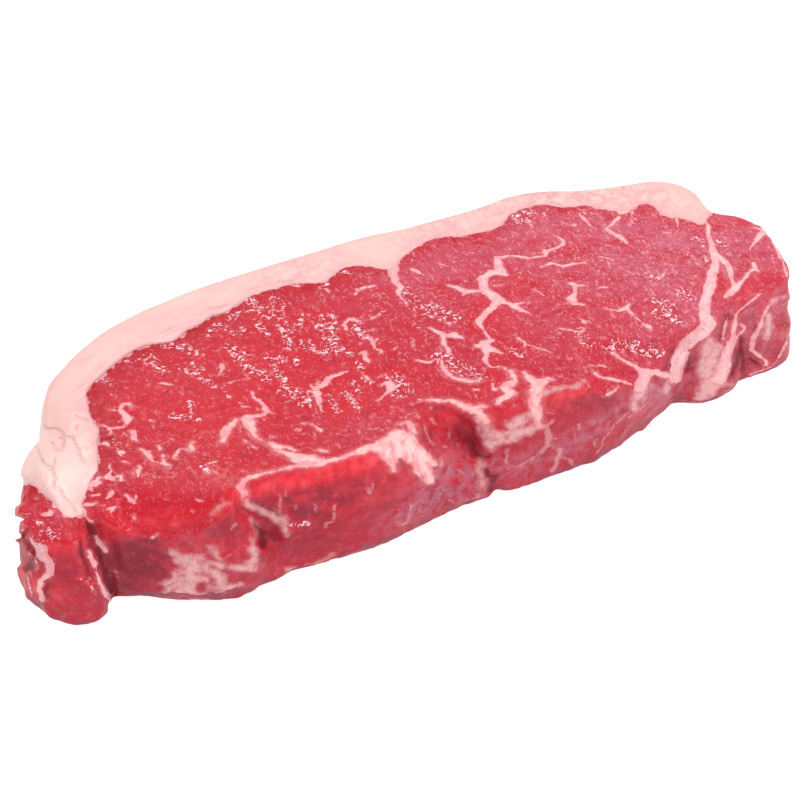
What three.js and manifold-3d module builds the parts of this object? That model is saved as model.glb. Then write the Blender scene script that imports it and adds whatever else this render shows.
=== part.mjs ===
// A raw strip loin steak: one slice cut across the loin, lying on its lower cut face.
// The lean is the large eye muscle with a flap of muscle folded against its left end and a
// tail of small muscles at its right end. The fat cap is the layer along its back, which runs
// through the whole thickness and shows in both cut faces.
//
// Millimetres, +Z up. The origin is on the lower face, under the middle of the steak. +X runs
// towards the tail, +Y towards the fat cap.
import * as THREE from "three";
import { mergeVertices } from "three/addons/utils/BufferGeometryUtils.js";
import Module from "manifold-3d";

// ---- Driving dimensions ----

const thickness = 27; // between the two cut faces
const topCorner = 2.6; // radius of the upper edge of the side
const footCorner = 1.8; // radius of the lower edge of the side
const sideBulge = 1.4; // how far the side swells out at half height
const shoulderWidth = 15; // where the upper face drops to a low rim, it does so over this width
const hillHeight = 0.35; // the upper face is not quite flat: gentle hills this high ...
const hillSize = 12; // ... and about this wide
const layerGap = 0.3; // clearance between the lean and the fat cap
const spineLeft = new THREE.Vector2(-105.5, -17); // ends of the line that both faces close on
const spineRight = new THREE.Vector2(95, -8);

// How finely the surface is divided
const stations = 224; // around the outline, half of them along the front
const fanStations = 9; // stations on each side of a tip that share the end of the spine
const topSteps = [1, 0.78, 0.6, 0.44, 0.3, 0.19, 0.1, 0.04, 0]; // from the spine to the rim
const cornerSteps = 3;
const sideSteps = 6;
const footSteps = 2;
const bottomSteps = [0, 0.12, 0.4, 1]; // from the rim to the spine
const layerSteps = 150; // along the boundary of the fat cap

// ---- Outline of the steak, seen from above, counter-clockwise from the left tip ----
// Each point is [x, y, height of the upper face there, how far the foot of the side stands out].

const flapEdge = [
  [-115, -17, 24.5, 0], [-114.9, -25, 24, 0.4], [-112, -31, 24, 1.2], [-107.2, -33.5, 24, 2],
  [-103.4, -31.6, 24, 2.2],
];
const frontEdge = [
  [-100.2, -28.8, 24, 2], [-96.5, -29.2, 22, 1.2], [-92.5, -31, 20, 0.6], [-87, -36.3, 18.5, 0.4],
  [-80, -40.3, 20, 1.2], [-72, -41.8, 24.5, 3.6], [-66, -39.4, 26.5, 6], [-58, -38.7, 27, 6.2],
  [-50, -40, 27, 5], [-42, -42.2, 27, 3.8], [-34, -42.6, 27, 4], [-25, -40.6, 27, 5.6],
  [-17, -39.2, 27, 6.4], [-10, -37.4, 27, 7.4], [-4, -37.4, 26, 7.4], [2, -40.3, 25, 4.8],
  [9, -42.8, 25, 2.2], [18, -44.2, 25, 1.8], [28, -44.9, 24, 1.4], [37, -45.3, 21.5, 0.6],
  [46, -44.8, 19.5, -0.7], [54.5, -43, 19.5, -1.8], [62, -40.4, 21, -1.9], [68, -38.7, 23.5, -1.2],
];
const tailEdge = [
  [74, -39.6, 25, -0.4], [79.5, -39.9, 25, 0], [85, -37.9, 24.5, 1], [91, -36.7, 25, 1],
  [97, -36.7, 25, 1], [102.5, -36.8, 24.5, 0.8], [107.6, -33.6, 24.5, 0.4], [111.4, -26.5, 26, -0.2],
  [114, -17.6, 27, -0.6],
];
const tailBackEdge = [
  [115.6, -10.4, 27.6, -0.6], [114.2, -2.8, 27.4, -0.4], [110.6, 2.8, 27, 0],
];
const capEdge = [
  [111.7, 8, 26.5, 0], [113.4, 14.5, 26.5, -0.6], [111.4, 21.4, 27, -1], [105.6, 26.6, 27, -1],
  [97, 29.4, 27, -1], [87, 33.4, 27, -1], [78, 38.8, 27, -1.2], [69, 41.4, 27, -1.2],
  [58, 41.1, 27, -1], [47, 42.2, 27, -1], [35, 43.4, 27, -1], [22, 46, 27, -1.2],
  [8, 46.5, 27, -1.2], [-7, 47.4, 27, -1.2], [-22, 48, 27, -1.2], [-36, 47.9, 26.5, -1],
  [-49, 46.6, 26, -1], [-61.4, 43.2, 25.5, -1], [-71.8, 38.2, 25, -0.8], [-81.2, 30.8, 25, -0.6],
  [-87.2, 22.8, 25, -0.4], [-91.8, 14.6, 24.5, -0.2], [-100.6, 7.8, 24.5, 0],
];
const flapBackEdge = [
  [-107.6, -1.6, 24.5, 0], [-112.4, -9.4, 24.5, 0],
];

// ---- Boundary of the fat cap, seen from above, from outside the left end to outside the right ----

const layerEdge = [
  [-124, 4], [-109.6, -5.5], [-107.4, -14], [-106.9, -21], [-105.4, -24.2], [-102.6, -22],
  [-96.5, -15.6], [-90.5, -11], [-85.5, -3.5], [-82.4, 2.5], [-80.4, 11], [-76.2, 20.4],
  [-68, 26.4], [-59, 29.6], [-51, 30.8], [-45, 29.6], [-36, 32.2], [-22, 34.4], [-8, 34.6],
  [1, 32.2], [9, 33.8], [15.5, 32.6], [18.7, 28.2], [23.5, 29.4], [36, 33.3], [48, 30.8],
  [56, 29.2], [66, 33.6], [76, 29], [83.5, 24.6], [87.6, 17.6], [96, 17.8], [98.6, 10.6],
  [102, 4.4], [104.6, -1], [110, 2.4], [124, 6],
];
const layerBack = 62; // beyond the back of the outline

// ---- Folds of the side. Each runs along a line between two points [x, y, z] ----

const creases = [
  // Between the flap and the eye
  { from: [-101.2, -27.5, 25], to: [-97.8, -29.5, 3], reach: 4.6, depth: 4 },
  // Slanting seams between the muscle bundles of the front
  { from: [-68, -39, 25], to: [-59, -43.5, 8], reach: 5, depth: 2.2 },
  { from: [-60, -43.5, 9], to: [-56, -43, 1], reach: 4, depth: 1.6 },
  // The deep fold at the middle of the front, ending in a small hollow at its foot
  { from: [-8.5, -37, 27], to: [-1.5, -40, 17], reach: 5.5, depth: 4.2 },
  { from: [-1.5, -41, 17], to: [1.5, -42, 11], reach: 4.5, depth: 3.6 },
  { from: [5.4, -43, 7], to: [5.6, -43, 1], reach: 4, depth: 3 },
  // Beside the fat seam between the eye and the tail
  { from: [67, -38.5, 22], to: [69, -36, 2], reach: 5.5, depth: 2.2 },
  // Between the small muscles of the tail
  { from: [84, -38, 22], to: [80, -39, 14], reach: 3.8, depth: 2.2 },
  { from: [90.5, -37, 17], to: [88.5, -37, 3], reach: 4.2, depth: 2.6 },
  { from: [103.5, -36, 24], to: [99.5, -37, 6], reach: 4.5, depth: 1.8 },
];
const swellings = [
  { from: [-84, -40, 8], to: [-72, -43, 10], reach: 13, depth: -1.4 },
  { from: [-50, -41, 14], to: [-42, -44, 12], reach: 13, depth: -1.2 },
  { from: [-30, -45, 8], to: [-20, -44, 10], reach: 12, depth: -1.3 },
  { from: [9, -44, 16], to: [22, -45, 14], reach: 11, depth: -1 },
  { from: [73, -39, 4], to: [84, -39, 6], reach: 8, depth: -1.8 },
  { from: [96, -37, 18], to: [93, -37, 6], reach: 5, depth: -1 },
];

// ---- Shape of the whole slice ----

const smooth = (t) => THREE.MathUtils.smoothstep(t, 0, 1);
const easeOut = (t) => 1 - (1 - Math.min(t, 1)) ** 2;
const arc = (steps) => Array.from({ length: steps }, (_, k) => ((k + 1) / steps) * (Math.PI / 2));

// Samples the outline evenly, with the left tip as station 0 and the right tip halfway round
function outlineStations() {
  const front = [...flapEdge, ...frontEdge, ...tailEdge];
  const points = [...front, ...tailBackEdge, ...capEdge, ...flapBackEdge];
  const samplesPerPoint = 24;
  const rim = new THREE.CatmullRomCurve3(points.map(([x, y, z]) => new THREE.Vector3(x, y, z)), true);
  const foot = new THREE.CatmullRomCurve3(points.map(([, , , out]) => new THREE.Vector3(out)), true);
  rim.arcLengthDivisions = points.length * samplesPerPoint;
  const lengths = rim.getLengths();
  const tip = lengths[front.length * samplesPerPoint] / lengths[lengths.length - 1];
  const half = stations / 2;
  return Array.from({ length: stations }, (_, i) => {
    const u = i < half ? (tip * i) / half : tip + ((1 - tip) * (i - half)) / half;
    const t = rim.getUtoTmapping(u);
    const at = rim.getPoint(t);
    const along = rim.getTangent(t);
    const normal = new THREE.Vector2(along.y, -along.x).normalize();
    return { x: at.x, y: at.y, height: at.z, footOut: foot.getPoint(t).x, normal };
  });
}

// The spine vertex that a station's rings close on, counted from the left end
function spineIndex(i) {
  const fromLeft = Math.min(i, stations - i);
  return THREE.MathUtils.clamp(fromLeft - fanStations, 0, stations / 2 - 2 * fanStations);
}

function spinePoint(i) {
  const share = spineIndex(i) / (stations / 2 - 2 * fanStations);
  return new THREE.Vector2().lerpVectors(spineLeft, spineRight, share);
}

// A point at a station: a distance out from the rim along its normal, and a height
function besideRim(station, out, z) {
  return new THREE.Vector3(station.x + station.normal.x * out, station.y + station.normal.y * out, z);
}

// Upper face: gentle hills on the level of the cut, sinking to the rim's own height
function upperPoint(station, i, share) {
  const rim = besideRim(station, -topCorner, station.height);
  const spine = spinePoint(i);
  const x = THREE.MathUtils.lerp(rim.x, spine.x, share);
  const y = THREE.MathUtils.lerp(rim.y, spine.y, share);
  const inwards = Math.hypot(x - rim.x, y - rim.y) / shoulderWidth;
  const hills = hillHeight * (Math.sin(x / hillSize) * Math.cos(y / hillSize - x / thickness) - 1);
  const z = THREE.MathUtils.lerp(station.height, thickness + hills, easeOut(inwards));
  return new THREE.Vector3(x, y, z);
}

function lowerPoint(station, i, share) {
  const rim = besideRim(station, station.footOut - footCorner, 0);
  const spine = spinePoint(i);
  return rim.lerp(new THREE.Vector3(spine.x, spine.y, 0), share);
}

// All the points of one station, from the upper spine over the side to the lower spine
function sectionPoints(station, i) {
  const sideTop = station.height - topCorner;
  const top = topSteps.map((share) => upperPoint(station, i, share));
  const corner = arc(cornerSteps).map((turn) =>
    besideRim(station, topCorner * (Math.sin(turn) - 1), sideTop + topCorner * Math.cos(turn)));
  const side = Array.from({ length: sideSteps }, (_, k) => {
    const down = (k + 1) / sideSteps;
    const out = station.footOut * smooth(down) + sideBulge * Math.sin(Math.PI * down);
    return besideRim(station, out, THREE.MathUtils.lerp(sideTop, footCorner, down));
  });
  const foot = arc(footSteps).slice(0, -1).map((turn) => {
    const out = station.footOut - footCorner * (1 - Math.cos(turn));
    return besideRim(station, out, footCorner * (1 - Math.sin(turn)));
  });
  const bottom = bottomSteps.map((share) => lowerPoint(station, i, share));
  return [...top, ...corner, ...side, ...foot, ...bottom];
}

// How far a fold moves a point inwards: full on the fold's line, none beyond its reach
function foldDepth(point, fold) {
  const line = new THREE.Line3(new THREE.Vector3(...fold.from), new THREE.Vector3(...fold.to));
  const nearest = line.closestPointToPoint(point, true, new THREE.Vector3());
  return fold.depth * smooth(1 - point.distanceTo(nearest) / fold.reach);
}

function folded(point, station) {
  const depth = [...creases, ...swellings].reduce((sum, fold) => sum + foldDepth(point, fold), 0);
  point.x -= station.normal.x * depth;
  point.y -= station.normal.y * depth;
  return point;
}

function sliceGeometry() {
  const outline = outlineStations();
  const sections = outline.map((station, i) =>
    sectionPoints(station, i).map((point) => folded(point, station)));
  const rings = sections[0].length;
  // Both spines are shared by the front and the back, so that the surface closes on them
  const index = (i, ring) => {
    const station = i % stations;
    const onSpine = ring === 0 || ring === rings - 1;
    return (onSpine ? spineIndex(station) + fanStations : station) * rings + ring;
  };
  const triangles = [];
  const addTriangle = (...corners) => {
    if (new Set(corners).size === 3) triangles.push(...corners);
  };
  for (let i = 0; i < stations; i += 1) {
    for (let ring = 0; ring < rings - 1; ring += 1) {
      addTriangle(index(i, ring), index(i, ring + 1), index(i + 1, ring + 1));
      addTriangle(index(i, ring), index(i + 1, ring + 1), index(i + 1, ring));
    }
  }
  const geometry = new THREE.BufferGeometry();
  const positions = sections.flat().flatMap((point) => point.toArray());
  geometry.setAttribute("position", new THREE.Float32BufferAttribute(positions, 3));
  geometry.setIndex(triangles);
  return geometry;
}

// ---- Region of the fat cap, as a prism over both faces ----

// The boundary is moved sideways, away from the cap, by the given distance
function capRegionGeometry(grow) {
  const edge = new THREE.SplineCurve(layerEdge.map(([x, y]) => new THREE.Vector2(x, y)));
  const boundary = Array.from({ length: layerSteps + 1 }, (_, k) => {
    const t = edge.getUtoTmapping(k / layerSteps);
    const along = edge.getTangent(t);
    return edge.getPoint(t).add(new THREE.Vector2(along.y, -along.x).multiplyScalar(grow));
  });
  const [left] = boundary;
  const right = boundary[layerSteps];
  const beyond = [new THREE.Vector2(right.x, layerBack), new THREE.Vector2(left.x, layerBack)];
  const margin = 5;
  const prism = new THREE.ExtrudeGeometry(new THREE.Shape([...boundary, ...beyond]), {
    depth: thickness + 2 * margin,
    bevelEnabled: false,
  });
  return prism.translate(0, 0, -margin);
}

// ---- Cutting the slice into its two layers ----

const wasm = await Module();
wasm.setup();

function toSolid(geometry) {
  const bare = geometry.clone();
  bare.deleteAttribute("normal");
  bare.deleteAttribute("uv");
  const merged = mergeVertices(bare);
  return new wasm.Manifold(new wasm.Mesh({
    numProp: 3,
    vertProperties: new Float32Array(merged.attributes.position.array),
    triVerts: new Uint32Array(merged.index.array),
  }));
}

function toGeometry(solid) {
  const mesh = solid.getMesh();
  const geometry = new THREE.BufferGeometry();
  geometry.setAttribute("position", new THREE.BufferAttribute(mesh.vertProperties, 3));
  geometry.setIndex(new THREE.BufferAttribute(mesh.triVerts, 1));
  geometry.computeVertexNormals();
  return geometry;
}

function layer(name, solid, material) {
  const mesh = new THREE.Mesh(toGeometry(solid), material);
  mesh.name = name;
  return mesh;
}

const slice = toSolid(sliceGeometry());
const leanMeat = new THREE.MeshStandardMaterial({ color: 0xc23a4c, roughness: 0.38, metalness: 0 });
const hardFat = new THREE.MeshStandardMaterial({ color: 0xf6d5cb, roughness: 0.5, metalness: 0 });

const group = new THREE.Group();
group.add(layer("lean", slice.subtract(toSolid(capRegionGeometry(layerGap))), leanMeat));
group.add(layer("fat_cap", slice.intersect(toSolid(capRegionGeometry(0))), hardFat));

export default group;
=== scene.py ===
import math
import bmesh
import bpy
import numpy as np
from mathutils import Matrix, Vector


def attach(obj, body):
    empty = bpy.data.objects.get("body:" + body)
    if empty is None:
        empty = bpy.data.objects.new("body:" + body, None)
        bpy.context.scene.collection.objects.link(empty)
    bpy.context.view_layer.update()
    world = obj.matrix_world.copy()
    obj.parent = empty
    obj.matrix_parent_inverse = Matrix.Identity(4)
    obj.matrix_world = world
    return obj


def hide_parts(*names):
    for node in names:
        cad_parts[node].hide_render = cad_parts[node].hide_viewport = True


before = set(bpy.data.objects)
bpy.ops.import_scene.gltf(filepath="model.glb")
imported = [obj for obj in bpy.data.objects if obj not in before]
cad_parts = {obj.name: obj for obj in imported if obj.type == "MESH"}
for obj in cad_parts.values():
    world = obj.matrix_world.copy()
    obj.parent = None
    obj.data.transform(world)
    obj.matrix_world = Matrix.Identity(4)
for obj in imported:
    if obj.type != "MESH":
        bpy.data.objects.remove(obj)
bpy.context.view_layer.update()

# ---- Studio --------------------------------------------------------------------------------
# A sweep of white paper in a white room. A big soft box lights the steak from above, a small
# one behind it gives the wet surface its glints, and two weaker ones lift the front and right.

MM = 0.001
middle_of_view = (-1, -10, 13)
look_at = Vector(middle_of_view) * MM
camera_turn = math.radians(-34)
camera_rise = math.radians(33)
camera_distance = 1.0
camera_lens = 175.5


def direction(turn, rise):
    """The way from the steak to what stands at the given turn and rise, in radians."""
    level = math.cos(rise)
    return np.array((math.sin(turn) * level, -math.cos(turn) * level, math.sin(rise)))


towards_camera = direction(camera_turn, camera_rise)
bpy.ops.object.select_all(action="DESELECT")
bpy.ops.object.camera_add(location=look_at + Vector(towards_camera) * camera_distance)
camera = bpy.context.object
camera.rotation_euler = (-Vector(towards_camera)).to_track_quat("-Z", "Y").to_euler()
camera.data.lens = camera_lens
camera.data.clip_start = 0.05
bpy.context.scene.camera = camera
bpy.context.scene.view_settings.view_transform = "Standard"


def add_soft_box(name, turn, rise, distance, width, height, watts, shine=1.0):
    """A rectangular lamp aimed at the steak from the given turn and rise, in degrees."""
    away = Vector(direction(math.radians(turn), math.radians(rise)))
    bpy.ops.object.light_add(type="AREA", location=look_at + away * distance)
    lamp = bpy.context.object
    lamp.name = name
    lamp.rotation_euler = (-away).to_track_quat("-Z", "Y").to_euler()
    lamp.data.shape = "RECTANGLE"
    lamp.data.size = width
    lamp.data.size_y = height
    lamp.data.energy = watts
    lamp.data.specular_factor = shine


add_soft_box("top_box", turn=120, rise=72, distance=1.1, width=1.2, height=0.9, watts=8, shine=0.3)
add_soft_box("back_box", turn=165, rise=44, distance=1.2, width=0.3, height=0.22, watts=3)
add_soft_box("front_box", turn=-40, rise=22, distance=1.3, width=1.2, height=0.6, watts=5.2, shine=0.5)
add_soft_box("right_box", turn=38, rise=24, distance=1.3, width=0.8, height=0.6, watts=3.2, shine=0.3)

world = bpy.data.worlds.new("white_room")
bpy.context.scene.world = world
world.use_nodes = True
room = world.node_tree.nodes["Background"].inputs
room["Color"].default_value = (1, 0.985, 0.97, 1)
room["Strength"].default_value = 0.42

bpy.ops.mesh.primitive_plane_add(size=6)
sweep = bpy.context.object
sweep.name = "white_sweep"
sweep_paper = bpy.data.materials.new("white_paper")
sweep_paper.use_nodes = True
paper = sweep_paper.node_tree.nodes["Principled BSDF"].inputs
paper["Base Color"].default_value = (0.3, 0.3, 0.3, 1)
paper["Roughness"].default_value = 0.9
paper["Emission Color"].default_value = (1, 1, 1, 1)
paper["Emission Strength"].default_value = 0.9
sweep.data.materials.append(sweep_paper)

# ---- The slice -----------------------------------------------------------------------------
# The knife takes lean and fat off the loin in one slice, so both layers are first shaped as one
# piece of flesh: the two solids are grown together, given a fine even mesh and relaxed.

sewing_gap = 0.002 * MM
overlap = 0.25 * MM
mesh_pitch = 0.58 * MM
relax_rounds = 9


def select_only(*pieces):
    """Selects the pieces and nothing else, and makes the last one active."""
    bpy.ops.object.select_all(action="DESELECT")
    for piece in pieces:
        piece.select_set(True)
    bpy.context.view_layer.objects.active = pieces[-1]


def merged_copy(node, name):
    """A copy of a frame node with its loose triangles sewn together."""
    copy = bpy.data.objects.new(name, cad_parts[node].data.copy())
    bpy.context.scene.collection.objects.link(copy)
    select_only(copy)
    copy.data.materials.clear()
    bpy.ops.object.mode_set(mode="EDIT")
    bpy.ops.mesh.select_all(action="SELECT")
    bpy.ops.mesh.remove_doubles(threshold=sewing_gap)
    bpy.ops.object.mode_set(mode="OBJECT")
    return copy


def apply_modifier(piece, kind, **settings):
    """Adds a modifier to the piece with the given settings and applies it."""
    select_only(piece)
    modifier = piece.modifiers.new(kind.lower(), kind)
    for setting, value in settings.items():
        setattr(modifier, setting, value)
    bpy.ops.object.modifier_apply(modifier=modifier.name)


flesh = merged_copy("lean", "flesh")
fat_copy = merged_copy("fat_cap", "fat_copy")
for layer in (flesh, fat_copy):
    apply_modifier(layer, "DISPLACE", strength=overlap, mid_level=0)
select_only(fat_copy, flesh)
bpy.ops.object.join()
apply_modifier(flesh, "REMESH", mode="VOXEL", voxel_size=mesh_pitch)
apply_modifier(flesh, "DISPLACE", strength=-overlap, mid_level=0)
apply_modifier(flesh, "SMOOTH", factor=0.5, iterations=relax_rounds)

# ---- Drawings on the flesh -----------------------------------------------------------------
# Where the fat runs in the lean, as a butcher sees it from the front left: the top cut and the
# front edge are drawn together on one sheet at the level of the top cut, in mm, and the edge
# below the cut folds out towards the front of the sheet.

sheet_level = 27
sheet_eye = np.array((-470, -705, 558))


def surface(piece):
    """The points of a piece in mm, and their outward normals."""
    count = len(piece.data.vertices)
    points = np.empty(count * 3, np.float32)
    normals = np.empty(count * 3, np.float32)
    piece.data.vertices.foreach_get("co", points)
    piece.data.vertex_normals.foreach_get("vector", normals)
    return points.reshape(-1, 3).astype(float) / MM, normals.reshape(-1, 3).astype(float)


def facing(points, normals):
    """1 where the flesh faces the eye, 0 where it is edge-on, and negative where it faces away."""
    to_eye = sheet_eye - points
    to_eye /= np.linalg.norm(to_eye, axis=1)[:, None]
    return (normals * to_eye).sum(axis=1)


def on_sheet(points):
    """Where points of the flesh lie on the drawn sheet."""
    reach = (sheet_eye[2] - sheet_level) / (sheet_eye[2] - points[:, 2])
    return sheet_eye[:2] + (points[:, :2] - sheet_eye[:2]) * reach[:, None]


def stroke_distance(spots, strokes):
    """How far each spot of the sheet lies outside the nearest stroke, negative inside it."""
    nearest = np.full(len(spots), 9.0)
    for stroke in strokes:
        for (ax, ay, aw), (bx, by, bw) in zip(stroke, stroke[1:]):
            reach = 5 + max(aw, bw)
            near = np.flatnonzero(
                (spots[:, 0] > min(ax, bx) - reach) & (spots[:, 0] < max(ax, bx) + reach)
                & (spots[:, 1] > min(ay, by) - reach) & (spots[:, 1] < max(ay, by) + reach)
            )
            away = spots[near] - (ax, ay)
            along = np.array((bx - ax, by - ay))
            part = np.clip(away @ along / (along @ along), 0, 1)
            gap = np.hypot(*(away - part[:, None] * along).T) - (aw + part * (bw - aw)) / 2
            nearest[near] = np.minimum(nearest[near], gap)
    return nearest


def soft_marks(spots, marks):
    """Soft patches added up. A mark is (x, y, half length, half width, turn, strength)."""
    total = np.zeros(len(spots))
    for x, y, length, width, turn, strength in marks:
        c, s = math.cos(math.radians(turn)), math.sin(math.radians(turn))
        away = spots - (x, y)
        along = (away @ (c, s)) / length
        across = (away @ (-s, c)) / width
        total += strength * np.exp(-along**2 - across**2)
    return total


def smooth_step(values, low, high):
    """0 at low and 1 at high, with a smooth rise between."""
    part = np.clip((values - low) / (high - low), 0, 1)
    return part * part * (3 - 2 * part)


lattice_seed = 11
lattice_size = 64
lattice = np.random.default_rng(lattice_seed).uniform(-1, 1, (lattice_size,) * 3)


def hills(points, size, shift=0):
    """Smooth random heights between -1 and 1, with hills of the given size in mm."""
    grid = points / size + shift
    cell = np.floor(grid).astype(int)
    part = grid - cell
    part = part * part * (3 - 2 * part)
    total = np.zeros(len(points))
    for corner in np.ndindex(2, 2, 2):
        weight = np.abs(1 - np.array(corner) - part).prod(axis=1)
        i, j, k = ((cell + corner) % lattice_size).T
        total += weight * lattice[i, j, k]
    return total


# The strokes are drawn on enlarged squares of the camera's view. The view is 800 wide,
# and a square is 200 of it, drawn 1568 wide. A square has the name of what it shows, and its
# value is the place of its upper left corner in the view. The few strokes and patches that are
# not drawn on a square are given on the sheet itself.
view_width = 800
film_width = 36
square_zoom = 1568 / 200
left_cut = (90, 290)
middle_cut = (250, 240)
right_cut = (420, 190)
flap_end = (0, 400)
left_front = (180, 420)
middle_front = (360, 370)
tail_end = (600, 180)
tail_front = (540, 340)

camera_eye = np.array(middle_of_view) + towards_camera * camera_distance / MM
camera_right = np.array((math.cos(camera_turn), math.sin(camera_turn), 0))
camera_up = np.cross(towards_camera, camera_right)
camera_focus = view_width * camera_lens / film_width


def drawn_on(square, strokes):
    """Lays the strokes drawn on a square on the sheet, to a tenth of a mm.

    A drawn stroke is a row of (x, y, width), with x and y in the square and the width in mm. On
    the sheet all three are in mm.
    """
    laid = []
    for stroke in strokes:
        row = []
        for x, y, width in stroke:
            across = square[0] + x / square_zoom - view_width / 2
            down = square[1] + y / square_zoom - view_width / 2
            sight = (across * camera_right - down * camera_up) / camera_focus - towards_camera
            place = camera_eye + sight * (sheet_level - camera_eye[2]) / sight[2]
            row.append((round(float(place[0]), 1), round(float(place[1]), 1), width))
        laid.append(row)
    return laid


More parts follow.
